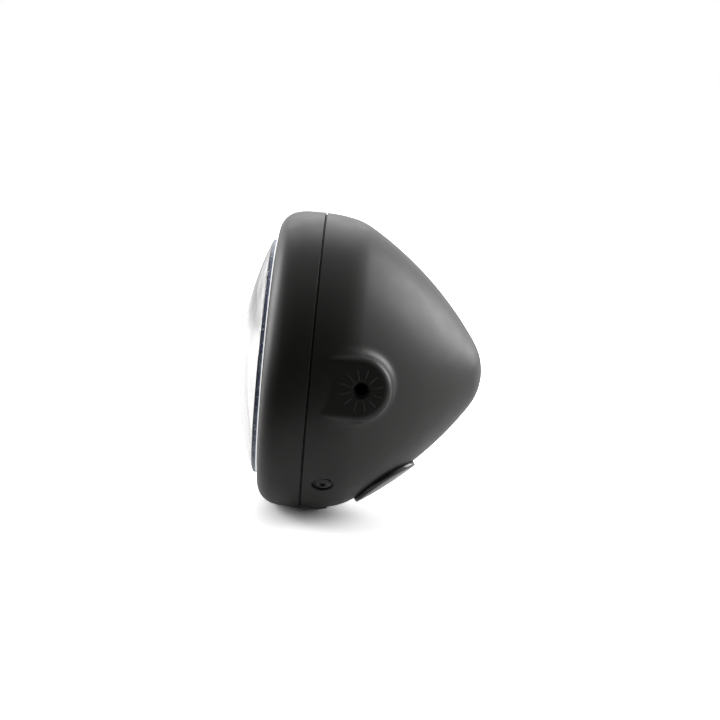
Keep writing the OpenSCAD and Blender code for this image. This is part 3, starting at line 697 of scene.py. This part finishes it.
def boss_rings(form, p, side, rim):
    """The boss: rings from the block's rim inwards to the hole, laid on the joined form by
    projection, then the flat face and the hole's wall. They start over the bowl, go up the
    boss's wall, round its edge and over its face, each along rays from the hole's axis."""
    mirror = np.array([side, 1, 1])
    rim = rim * mirror
    phi = np.arctan2(rim[:, 2], rim[:, 1])
    rho_rim = np.hypot(rim[:, 1], rim[:, 2])
    unit = np.stack([np.zeros_like(phi), np.cos(phi), np.sin(phi)], axis=1)
    r, ahead, edge_r, hole = form.boss_r, form.ahead, form.edge, p.boss_hole

    wall = np.sqrt(r ** 2 - (ahead * np.sin(phi)) ** 2) - ahead * np.cos(phi)
    straight = np.minimum(r / np.maximum(np.abs(np.sin(phi)), 1e-6), 0.86 * rho_rim)
    wall = np.where(wall * np.cos(phi) < -ahead, straight, wall)
    foot = wall * (1 + BOSS_FOOT / r)
    high_x = form.face_x - edge_r

    def fan(rho):
        """Points on the rays at these distances from the hole's axis."""
        return rho[..., None] * unit[None]

    t = np.linspace(0, 1, 11)[:, None]
    outer = fan(rho_rim * (1 - t) + foot * t)
    outer[..., 0] = form.line.side_x(outer)
    t = np.linspace(0, 1, 17)[1:, None]
    flank = fan(foot - (foot - wall) * np.minimum(t * 2.5, 1))
    low_x = outer[-1, :, 0][None]
    flank[..., 0] = np.maximum(low_x + (high_x - low_x) * t, low_x)
    turn = np.linspace(0, math.pi / 2, 9)[1:, None]
    edge = fan(wall - edge_r + edge_r * np.cos(turn))
    edge[..., 0] = np.maximum(high_x + edge_r * np.sin(turn), form.line.side_x(edge))
    t = np.linspace(0, 1, 5)[1:, None]
    top = fan((wall - edge_r) * (1 - t) + p.tooth_end * t)
    top[..., 0] = np.maximum(form.face_x, form.line.side_x(top))
    body = np.concatenate([outer, flank, edge, top])
    body[1:-1] = form.project(body[1:-1])

    edges, drops = hole + np.array(HOLE_EDGE) * MM, np.array(HOLE_DROP) * MM
    face_rho = np.concatenate([np.linspace(p.tooth_end, edges[0], 10)[1:], edges[1:]])
    face = fan(face_rho[:, None])
    face[..., 0] = form.face_x + np.interp(face_rho, edges[::-1], drops[::-1])[:, None]
    walls = np.repeat(face[-1:], len(HOLE_WALL), axis=0)
    walls[..., 0] -= np.array(HOLE_WALL)[:, None] * MM
    return np.concatenate([body, face, walls]) * mirror


def out_and_across(angle):
    """Unit vectors away from the lamp's axis and across, at an angle from six o'clock."""
    s, c = math.sin(angle), math.cos(angle)
    return np.array([s, 0, -c]), np.array([c, 0, s])


def dimple_rings(line, p, side, rim):
    """The screw's dimple: rings from the block's rim to the dimple's rolled edge, down its wall,
    over the floor and to the screw's hole. A ring's height falls from the bowl's surface to the
    floor by its share of the depth: h = top + (floor - top) min(share, 1)."""
    out, across = out_and_across(side * SCREW_ANGLE)
    along = np.array([0.0, 1.0, 0.0])
    centre_y = p.screw_s - BOLT_S
    u, v = rim @ across, rim[:, 1] - centre_y
    phi = np.arctan2(v, u)
    floor = line.radius_at(p.screw_s)[0] - DIMPLE_DEPTH
    t = np.linspace(0, 1, 7)[:, None]
    outer = np.hypot(u, v) * (1 - t) + (p.dimple_radius + 0.9 * MM) * t
    inner = np.concatenate([p.dimple_radius + np.array(DIMPLE_WALL) * MM,
                            np.array(DIMPLE_FLOOR) * MM])
    rho = np.concatenate([outer, np.repeat(inner[:, None], len(phi), axis=1)])
    share = np.array((0,) * len(outer) + DIMPLE_DROP)[:, None] * MM / DIMPLE_DEPTH
    u, v = rho * np.cos(phi), rho * np.sin(phi)
    top = np.sqrt(np.maximum(line.radius_at(v + p.screw_s)[0] ** 2 - u ** 2, 0))
    height = top + (floor - top) * np.minimum(share, 1) - np.maximum(share - 1, 0) * DIMPLE_DEPTH
    points = u[..., None] * across + height[..., None] * out + (v + centre_y)[..., None] * along
    points[0] = rim
    return points


def grommet_frame(line, p):
    """Centre, across, along and outward vectors of the grommet's seat on the flank."""
    r, heading = line.radius_at(p.grommet_s)
    out, across = out_and_across(p.grommet_angle)
    centre = out * r + np.array([0, p.grommet_s - BOLT_S, 0])
    normal = out * math.cos(heading) + np.array([0, math.sin(heading), 0])
    return centre, across, np.cross(normal, across), normal


def drop_on_bowl(line, points, normal, lift=0.0, steps=8):
    """Slides points along a direction until they lie lift above the turned surface."""
    q = points.copy()
    for _ in range(steps):
        d, n = line.distance(q)
        q -= ((d - lift) / np.maximum(n @ normal, 0.3))[..., None] * normal
    return q


def cable_hole_rings(line, p, rim):
    """The surface round the cable hole: rings from the block's rim to a circle, each laid on the
    bowl: point = rim + (circle - rim) t."""
    centre, across, along, normal = grommet_frame(line, p)
    u, v = (rim - centre) @ across, (rim - centre) @ along
    phi = np.arctan2(v, u)
    unit = np.cos(phi)[:, None] * across + np.sin(phi)[:, None] * along
    circle = drop_on_bowl(line, centre + p.grommet_neck * unit, normal)
    t = np.linspace(0, 1, 9)[:, None, None]
    rings = rim[None] * (1 - t) + circle[None] * t
    rings[1:-1] = drop_on_bowl(line, rings[1:-1], normal)
    return rings


def serration_ridges(p, side):
    """The radial serrations: each is a closed ridge lofted along the radius, a half cosine over a
    flat foot sunk in the face, whose height and width fall to nothing at both ends:
    z = h cos(pi v / 2) sin(pi u)^0.4."""
    u = np.linspace(0, 1, 15)[:, None]
    v = np.concatenate([np.linspace(-1, 1, 9), [1, -1]])[None, :]
    inner, outer = p.boss_hole + 0.7 * MM, p.tooth_end
    rho = inner + (outer - inner) * u + 0 * v
    half = TOOTH_HALF * np.sin(math.pi * np.clip(u, 0.02, 0.98)) ** 0.3
    rise = np.sin(math.pi * np.clip(u, 0.001, 0.999)) ** 0.4
    z = p.tooth_height * np.cos(math.pi * v / 2) * rise
    z[:, 9:] = TOOTH_FOOT
    half[[0, -1]] = 0
    z[[0, -1]] = TOOTH_FOOT
    x, y = side * (p.boss_span / 2 - TOOTH_SINK + z), half * v
    sheet = Sheet()
    for turn in (np.arange(TEETH) + 0.5) * TURN / TEETH:
        sheet.add_rings(np.stack([x, rho * math.cos(turn) - y * math.sin(turn),
                                  rho * math.sin(turn) + y * math.cos(turn)], axis=-1))
    return sheet


# Property groups

def length_prop(name, value, description):
    """A length property, from a value in millimetres."""
    return bpy.props.FloatProperty(name=name, description=description, default=value * MM,
                                   unit="LENGTH", precision=5)


def angle_prop(name, value, description):
    """An angle property, from a value in degrees."""
    return bpy.props.FloatProperty(name=name, description=description,
                                   default=math.radians(value), subtype="ANGLE")


class HeadlightSizes(bpy.types.PropertyGroup):
    """Sizes of the lamp."""
    bowl_radius: length_prop("Bowl radius", 81.9, "Outside of the bowl at the seam")
    drum_length: length_prop("Drum length", 15, "Nearly straight part behind the seam")
    shoulder_radius: length_prop("Shoulder radius", 35, "Arc between drum and flank")
    flank_radius: length_prop("Flank radius", 192, "Long arc towards the nose")
    bowl_wall: length_prop("Bowl wall", 1.6, "Thickness of the pressed sheet")
    boss_span: length_prop("Boss span", 162.4, "Distance between the two boss faces")
    boss_radius: length_prop("Boss radius", 17.8, "Radius of a boss at its face")
    boss_ahead: length_prop("Boss ahead", 1.8, "Middle of a boss in front of its hole")
    boss_hole: length_prop("Boss hole", 4.6, "Radius of the hole in a boss face")
    boss_edge: length_prop("Boss edge", 4.3, "Rounding round a boss face")
    fairing: length_prop("Fairing", 7, "Reach of the fairing round a boss")
    tooth_end: length_prop("Serration end", 11.7, "Radius where the serrations end")
    tooth_height: length_prop("Serration height", 0.5, "Height of a serration")
    screw_s: length_prop("Screw distance", 11.4, "Bezel screws behind the seam")
    dimple_radius: length_prop("Dimple radius", 5.85, "Recess round a bezel screw")
    louvre_half: angle_prop("Louvre half angle", 11, "Half the angle that the drain louvre spans")
    grommet_angle: angle_prop("Grommet angle", 15, "Grommet from six o'clock")
    grommet_s: length_prop("Grommet distance", 45, "Grommet behind the seam")
    grommet_radius: length_prop("Grommet radius", 19.5, "Radius of its flange")
    grommet_neck: length_prop("Grommet neck", 15.5, "Radius of the hole it fills")
    grommet_wall: length_prop("Grommet wall", 2.6, "Thickness of its flange")
    cable_radius: length_prop("Cable hole", 4, "Radius of the cable hole")
    bezel_radius: length_prop("Bezel radius", 82, "Outside of the bezel")
    lens_radius: length_prop("Lens radius", 64.75, "Outside of the glass")
    lens_middle: length_prop("Lens middle", 4.6, "Thickness of the glass on the axis")
    lens_crown: length_prop("Lens crown", 13.1, "Height of the dome")
    crimp_reach: length_prop("Crimp reach", 25.85, "Crimped rim in front of the seam")
    focus: length_prop("Focal length", 23, "Of the reflector")


class HeadlightFinish(bpy.types.PropertyGroup):
    """Colours of the lamp."""
    paint: bpy.props.FloatVectorProperty(name="Paint", description="Colour of the satin paint",
                                         subtype="COLOR", size=3, default=(0.0125, 0.0125, 0.011),
                                         min=0, max=1)
    paint_roughness: bpy.props.FloatProperty(name="Paint roughness", default=0.42, min=0, max=1,
                                             description="Of the satin paint")


class HeadlightStage(bpy.types.PropertyGroup):
    """Camera and floor."""
    distance: length_prop("Camera distance", 1100, "From the lamp")
    elevation: angle_prop("Elevation", 9.5, "Camera above the lamp")
    yaw: angle_prop("Yaw", 0.35, "Camera towards the lens")
    roll: angle_prop("Roll", 5.3, "Camera about its axis")
    view_width: length_prop("View width", 400, "Width of the view at the lamp")
    floor_z: length_prop("Floor", -82.6, "Height of the floor")


# Operators

class HEADLIGHT_OT_bowl(bpy.types.Operator):
    """Makes the bowl with its bosses, dimples, drain louvre, cable hole, spigot and serrations"""
    bl_idname = "headlight.bowl"
    bl_label = "Bowl"

    def execute(self, context):
        p = context.scene.headlight_sizes
        skin = thicken(finish_mesh(bowl_surface(p), 4e-6), p.bowl_wall)
        add_piece(shade_by_angle(skin, 38), "black_paint", "bowl")
        section = rounded(np.array(SPIGOT) * MM, 0.4 * MM)
        add_piece(turned("bowl_spigot", section), "black_paint")
        for side, name in ((1, "left_serrations"), (-1, "right_serrations")):
            teeth = finish_mesh(serration_ridges(p, side).make(name))
            add_piece(shade_by_angle(teeth, 40), "black_paint")
        return {"FINISHED"}


def bezel_section(p, wall):
    """The bezel's outline in (distance in front of the seam, radius): band, bend and corner."""
    start = np.array([[SEAM_HALF, p.bezel_radius - wall], [BAND_T, p.bezel_radius - wall]])
    bend = arc(start[-1], BEND_R - wall, 0, BEND_END, 8)
    corner = arc(bend[-1], CORNER_R - wall, BEND_END, 90, 28)
    return start, bend, corner


class HEADLIGHT_OT_bezel(bpy.types.Operator):
    """Makes the rolled bezel with the four posts inside it"""
    bl_idname = "headlight.bezel"
    bl_label = "Bezel"

    def execute(self, context):
        p = context.scene.headlight_sizes
        lip_r = p.lens_radius + CRIMP_WALL + LIP_FIT + LIP_ROLL
        start, bend, corner = bezel_section(p, 0)
        roll = arc(start[0] - np.array([0, SEAM_ROLL]), SEAM_ROLL, -90, 0, 4)
        turn = np.radians(np.linspace(0, -190, 20))
        lip_t = corner[-1][0] - LIP_ROLL
        lip = np.array([lip_t, lip_r]) + LIP_ROLL * np.stack([np.cos(turn), np.sin(turn)], axis=1)
        inner = np.concatenate(bezel_section(p, BEZEL_WALL))[::-1]
        neck = np.array([[inner[0][0], lip_r + 1.1 * MM]])
        section = np.concatenate([roll, start[1:], bend, corner, lip, neck, inner])
        sheet = Sheet()
        sheet.add(*revolve(section * (-1, 1), 256))
        for at in around(POSTS):
            sheet.add(*bezel_post(p, at))
        add_piece(shade_by_angle(finish_mesh(sheet.make("bezel_skin")), 40), "black_paint", "bezel")
        return {"FINISHED"}


def bezel_post(p, angle):
    """A post on the back of the bezel's corner, bored for a ring screw: a closed section turned
    about an axis that runs along the lamp's, (centre + rho cos phi, s, rho sin phi). Its front end
    follows the middle of the sheet, t = corner centre + sqrt(R^2 - (r - centre radius)^2)."""
    low = BOLT_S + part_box("lens")[1].y + POST_LIFT
    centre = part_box("ring_screws")[1].z - RING_SCREW_R
    thin = 0.01 * MM
    rho = np.array([POST_BORE, POST_R, POST_R, thin, thin, POST_BORE])[:, None]
    phi = around(48)
    u, v = centre + rho * np.cos(phi), rho * np.sin(phi)
    bend_end = bezel_section(p, 0)[1][-1]
    turn = math.radians(BEND_END)
    middle = bend_end - CORNER_R * np.array([math.sin(turn), math.cos(turn)])
    beyond = np.maximum(np.hypot(u, v) - middle[1], 0)
    end = middle[0] + np.sqrt((CORNER_R - BEZEL_WALL / 2) ** 2 - beyond ** 2)
    floor = low - POST_DEEP
    s = np.array([low, low, 0, 0, floor, floor])[:, None] + 0 * u
    s[2:4] = -end[2:4]
    points = np.stack([u * math.sin(angle) + v * math.cos(angle), s - BOLT_S,
                       -u * math.cos(angle) + v * math.sin(angle)], axis=-1)
    return points, grid_faces(*u.shape, wrap_columns=True, wrap_rows=True)


class HEADLIGHT_OT_seal(bpy.types.Operator):
    """Makes the rubber seal in the seam"""
    bl_idname = "headlight.seal"
    bl_label = "Seal"

    def execute(self, context):
        low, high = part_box("rim_seal")
        half = (high.y - low.y) / 2 - 0.02 * MM
        foot = high.z - 0.7 * MM
        a = np.radians(np.linspace(-90, 90, 12))
        crown = np.stack([half * np.sin(a), foot + 0.1 * MM + 0.35 * MM * np.cos(a)], axis=1)
        section = np.concatenate([[[-half, foot]], crown, [[half, foot]]])
        add_piece(turned("seal_ring", section, sharp=60), "rubber", "rim_seal")
        return {"FINISHED"}


class HEADLIGHT_OT_lens(bpy.types.Operator):
    """Makes the domed glass lens and the ground band round its edge"""
    bl_idname = "headlight.lens"
    bl_label = "Lens"

    def execute(self, context):
        p = context.scene.headlight_sizes
        low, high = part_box("lens")
        top, seat = BOLT_S + low.y, BOLT_S + high.y
        edge_s = top + p.lens_crown
        rim, hem = p.lens_radius - LENS_BAND, 0.02 * MM
        outer = cap(top, edge_s, rim, 90)[:-1]
        inner = cap(top + p.lens_middle, edge_s + LENS_SAG, rim - LENS_WALL, 90)[::-1]
        edge = np.array([(edge_s - 0.12 * MM, rim - 0.5 * MM), (edge_s + 0.1 * MM, rim - 0.12 * MM),
                         (edge_s + 0.4 * MM, rim), (seat - 0.3 * MM, rim), (seat, rim - 0.3 * MM),
                         (seat, rim - LENS_WALL)])
        glass = turned("lens_glass", np.concatenate([outer, edge, inner]), 384, closed=False)
        add_piece(glass, "clear_glass", "lens")
        ring = ((edge_s + 0.5 * MM, rim + hem), (edge_s + 0.35 * MM, p.lens_radius - 0.1 * MM),
                (edge_s + 0.5 * MM, p.lens_radius), (seat - 0.2 * MM, p.lens_radius),
                (seat - 0.1 * MM, rim + hem))
        band = add_piece(turned("lens_band", ring), "clear_glass")
        band.data.materials[0] = ground_edge()
        return {"FINISHED"}


def cap(top, edge, radius, count):
    """A spherical cap's profile from the axis to its edge: s = top + R - R cos a, r = R sin a,
    with the sphere R = (radius^2 + h^2) / 2h for a height h = edge - top."""
    high = edge - top
    sphere = (radius ** 2 + high ** 2) / (2 * high)
    a = np.linspace(0, math.asin(radius / sphere), count)
    return np.stack([top + sphere - sphere * np.cos(a), sphere * np.sin(a)], axis=1)


class HEADLIGHT_OT_grommet(bpy.types.Operator):
    """Makes the rubber grommet in the cable hole"""
    bl_idname = "headlight.grommet"
    bl_label = "Grommet"

    def execute(self, context):
        p = context.scene.headlight_sizes
        line = BowlOutline(p)
        centre, across, along, normal = grommet_frame(line, p)
        phi = around(128)
        unit = np.cos(phi)[:, None] * across + np.sin(phi)[:, None] * along
        rings = np.stack([drop_on_bowl(line, centre + rho * unit, normal, lift)
                          for rho, lift in grommet_path(p)])
        faces = grid_faces(*rings.shape[:2], wrap_columns=True, wrap_rows=True)
        obj = shade_by_angle(finish_mesh(new_object("grommet_rubber", rings, faces)), 50)
        add_piece(obj, "rubber", "grommet")
        obj.data.materials[0] = moulded_rubber()
        return {"FINISHED"}


def grommet_path(p):
    """The grommet's section as (radius, height above the bowl): the flange's edge and face, the
    cable hole's rounded edge and wall, and inside the bowl the lip behind the sheet."""
    wall, r, cable, sheet = p.grommet_wall, p.grommet_radius, p.cable_radius, p.bowl_wall
    neck, back = p.grommet_neck - 0.05 * MM, sheet + 2 * MM
    lip = neck + 2 * MM
    flange = [(r - 0.3 * MM, 0.02 * MM), (r, 0.35 * MM), (r, wall * 0.6),
              (r - 0.15 * MM, wall * 0.86), (r - 0.5 * MM, wall), (r - 3 * MM, wall),
              (r - 6 * MM, wall), (r - 9 * MM, wall), (cable + 2 * MM, wall)]
    hole = [(cable + 0.3 * MM, wall), (cable + 0.08 * MM, wall - 0.08 * MM),
            (cable, wall - 0.3 * MM), (cable, 0.0), (cable, -back + 0.4 * MM),
            (cable + 0.4 * MM, -back)]
    inside = [(neck - 2 * MM, -back), (lip - 0.5 * MM, -back), (lip, -back + 0.5 * MM),
              (lip, -sheet - 0.3 * MM), (lip - 0.2 * MM, -sheet - 0.05 * MM),
              (neck, -sheet - 0.05 * MM), (neck, 0.02 * MM)]
    return flange + hole + inside


class HEADLIGHT_OT_reflector(bpy.types.Operator):
    """Makes the parabolic reflector with its crimped rim"""
    bl_idname = "headlight.reflector"
    bl_label = "Reflector"

    def execute(self, context):
        p = context.scene.headlight_sizes
        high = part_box("reflector")[1]
        lens_seat = BOLT_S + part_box("lens")[1].y
        section = reflector_section(p, lens_seat, BOLT_S + high.y, high.z)
        add_piece(turned("reflector_skin", section, sharp=35), "mirror_coat", "reflector")
        return {"FINISHED"}


def reflector_section(p, lens_seat, bulb_seat, flange_r):
    """The reflector's section as (s, r): the mirror, a parabola s = vertex - r^2 / 4f, then the
    crimped rim round the lens with its flange, the back of the dish, and the bulb's seat."""
    mouth = p.lens_radius - 2.3 * MM
    neck, collar, wall, flange_wall = 17.5 * MM, 23.5 * MM, 0.9 * MM, 0.8 * MM
    vertex = lens_seat + mouth ** 2 / (4 * p.focus)
    r = np.linspace(neck, mouth, 56)
    dish = np.stack([vertex - r ** 2 / (4 * p.focus), r], axis=1)
    slope = np.arctan(r / (2 * p.focus))
    back = (dish + wall * np.stack([np.cos(slope), np.sin(slope)], axis=1))[::-1]
    crimp_r, seat_r = p.lens_radius + CRIMP_WALL, p.lens_radius + 0.02 * MM
    front_s, top_s = lens_seat - 1.4 * MM, -p.crimp_reach
    rim = [(lens_seat, seat_r), (top_s + 0.2 * MM, seat_r), (top_s, seat_r + 0.15 * MM),
           (top_s, crimp_r - 0.15 * MM), (top_s + 0.15 * MM, crimp_r), (front_s, crimp_r),
           (front_s, flange_r), (front_s + flange_wall, flange_r),
           (front_s + flange_wall, crimp_r), (lens_seat + flange_wall, crimp_r),
           (lens_seat + flange_wall, mouth + 2 * MM)]
    seat = [(dish[0][0] + 4 * MM, collar), (bulb_seat, collar), (bulb_seat, neck)]
    return np.concatenate([dish, rim, back[:-6], seat])


class HEADLIGHT_OT_bushes(bpy.types.Operator):
    """Makes the tapped bushes behind the boss faces"""
    bl_idname = "headlight.bushes"
    bl_label = "Bushes"

    def execute(self, context):
        for node in ("left_bush", "right_bush"):
            obj = shade_by_angle(finish_mesh(tapped_bush(node + "_tapped", node)), 35)
            add_piece(obj, "black_screw", node)
        return {"FINISHED"}


def tapped_bush(name, node):
    """A bush about the side bolts' axis with a thread. Its section is carried round the axis, and
    the bore's radius follows the thread: r = minor + depth |2 frac(x / pitch - phi / 2 pi) - 1|."""
    low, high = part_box(node)
    side = 1 if high.x > 0 else -1
    face, end = max(abs(low.x), abs(high.x)), min(abs(low.x), abs(high.x))
    flange_r, barrel, flange = high.z, 7 * MM, 3 * MM
    bore = np.linspace(face - 1 * MM, end + 0.2 * MM, 96)
    outside = np.array([(end, MINOR_R + 0.3 * MM), (end, barrel), (face - flange, barrel),
                        (face - flange, flange_r), (face - 0.3 * MM, flange_r),
                        (face, flange_r - 0.3 * MM), (face, 4.5 * MM)])
    x = np.concatenate([outside[:, 0], bore])[:, None]
    r = np.concatenate([outside[:, 1], np.full(len(bore), MINOR_R)])[:, None]
    phi = around(96)[None, :]
    cut = THREAD_DEPTH * np.abs(2 * np.mod(x / PITCH - phi / TURN, 1) - 1)
    cut[:len(outside)] = 0
    rho = r + cut
    points = np.stack([side * (x + 0 * phi), rho * np.cos(phi), rho * np.sin(phi)], axis=-1)
    return new_object(name, points, grid_faces(*rho.shape, wrap_columns=True, wrap_rows=True))


class HEADLIGHT_OT_fittings(bpy.types.Operator):
    """Gives every other CAD node its finish"""
    bl_idname = "headlight.fittings"
    bl_label = "Fittings"

    def execute(self, context):
        slots = {part["node"]: part["material_slot"] for part in frame["record"]["subparts"]}
        replaced = {"bowl", "bezel", "rim_seal", "lens", "reflector", "left_bush", "right_bush",
                    "grommet"}
        for name, obj in frame["nodes"].items():
            if name not in replaced:
                dress(obj, slots[name])
        return {"FINISHED"}


class HEADLIGHT_OT_stage(bpy.types.Operator):
    """Makes the floor, the lamps, the world and the camera"""
    bl_idname = "headlight.stage"
    bl_label = "Stage"

    def execute(self, context):
        st = context.scene.headlight_stage
        add_floor(st)
        add_lights()
        add_world()
        add_camera(st)
        context.scene.view_settings.view_transform = "Standard"
        return {"FINISHED"}


def add_floor(st):
    """A round floor under the lamp, white to the camera. To every other ray it is pale on the far
    side and dark towards the camera."""
    angles = around(96)
    rings = np.stack([np.stack([r * np.cos(angles), r * np.sin(angles), 0 * angles + st.floor_z],
                               axis=1) for r in FLOOR_RADII])
    floor = new_object("floor", rings, grid_faces(*rings.shape[:2], wrap_columns=True))
    mat = bpy.data.materials.new("floor_white")
    n = Nodes(mat)
    near = n.add("VectorMath", {0: n.coords(), 1: (1, -0.6, 0)}, "Value", operation="DOT_PRODUCT")
    shade = n.ramp(near, (0.06, 0.26), (0.8, 0.08))
    pale = n.add("BsdfDiffuse", {"Color": shade}, "BSDF")
    seen = n.add("BsdfDiffuse", {"Color": (1.9, 1.9, 1.9, 1)}, "BSDF")
    to_camera = n.add("LightPath", {}, "Is Camera Ray")
    n.show("ShaderNodeOutputMaterial",
           n.add("MixShader", {"Fac": to_camera, 1: pale, 2: seen}, "Shader"))
    floor.data.materials.append(mat)


def add_lights():
    """Soft boxes that face the lamp: behind the bowl's nose, on the far side above, and in front
    of the lens."""
    for name, place, size, power in SOFT_BOXES:
        lamp = bpy.data.lights.new(name, "AREA")
        lamp.shape = "SQUARE"
        lamp.size = size
        lamp.energy = power
        obj = bpy.data.objects.new(name, lamp)
        aim = (-Vector(place)).to_track_quat("-Z", "Y").to_matrix().to_4x4()
        obj.matrix_world = Matrix.Translation(place) @ aim
        bpy.context.scene.collection.objects.link(obj)


def add_world():
    """White to the camera and through glass. Other rays meet a studio that is dark on the camera's
    side, dimmer overhead, and pale everywhere else."""
    world = bpy.data.worlds.new("studio")
    bpy.context.scene.world = world
    n = Nodes(world)
    direction = n.coords("Generated")
    x, z = (n.add("SeparateXYZ", {"Vector": direction}, axis) for axis in "XZ")
    near = n.ramp(x, (0.0, 0.95), (1.0, 0.02))
    high = n.ramp(z, (0.35, 0.9), (1.1, 0.55))
    level = n.maths("MULTIPLY", near, high)
    room = n.add("Background", {"Color": WHITE, "Strength": level}, "Background")
    white = n.add("Background", {"Color": WHITE}, "Background")
    rays = ("Is Camera Ray", "Is Transmission Ray")
    seen, through = (n.add("LightPath", {}, ray) for ray in rays)
    mix = {"Fac": n.maths("MAXIMUM", seen, through), 1: room, 2: white}
    n.show("ShaderNodeOutputWorld", n.add("MixShader", mix, "Shader"))


def add_camera(st):
    """The camera looks at the lamp's middle from its left side, a little above, turned about its
    axis."""
    data = bpy.data.cameras.new("camera")
    data.sensor_width = SENSOR
    data.lens = SENSOR * st.distance / st.view_width
    data.clip_end = 50
    cam = bpy.data.objects.new("camera", data)
    level = math.cos(st.elevation)
    direction = Vector((level * math.cos(st.yaw), -level * math.sin(st.yaw),
                        math.sin(st.elevation)))
    aim = Vector((0, 25.5 * MM - BOLT_S, 2.4 * MM))
    look = (-direction).to_track_quat("-Z", "Y").to_matrix().to_4x4()
    place = Matrix.Translation(aim + direction * st.distance)
    cam.matrix_world = place @ look @ Matrix.Rotation(st.roll, 4, "Z")
    bpy.context.scene.collection.objects.link(cam)
    bpy.context.scene.camera = cam


class HEADLIGHT_PT_panel(bpy.types.Panel):
    """Lists the pieces of the headlight"""
    bl_label = "Headlight"
    bl_idname = "HEADLIGHT_PT_panel"
    bl_space_type = "VIEW_3D"
    bl_region_type = "UI"
    bl_category = "Headlight"

    def draw(self, context):
        for operator in OPERATORS:
            self.layout.operator(operator.bl_idname)


OPERATORS = (HEADLIGHT_OT_stage, HEADLIGHT_OT_bowl, HEADLIGHT_OT_bushes, HEADLIGHT_OT_bezel,
             HEADLIGHT_OT_seal, HEADLIGHT_OT_lens, HEADLIGHT_OT_reflector, HEADLIGHT_OT_grommet,
             HEADLIGHT_OT_fittings)
CLASSES = (HeadlightSizes, HeadlightFinish, HeadlightStage, *OPERATORS, HEADLIGHT_PT_panel)
POINTERS = {"headlight_sizes": HeadlightSizes, "headlight_finish": HeadlightFinish,
            "headlight_stage": HeadlightStage}


def register():
    for cls in CLASSES:
        bpy.utils.register_class(cls)
    for name, group in POINTERS.items():
        setattr(bpy.types.Scene, name, bpy.props.PointerProperty(type=group))


def unregister():
    for name in POINTERS:
        delattr(bpy.types.Scene, name)
    for cls in reversed(CLASSES):
        bpy.utils.unregister_class(cls)


def main():
    register()
    bpy.ops.headlight.stage()
    bpy.ops.headlight.bowl()
    bpy.ops.headlight.bushes()
    bpy.ops.headlight.bezel()
    bpy.ops.headlight.seal()
    bpy.ops.headlight.lens()
    bpy.ops.headlight.reflector()
    bpy.ops.headlight.grommet()
    bpy.ops.headlight.fittings()


if __name__ == "__main__":
    main()
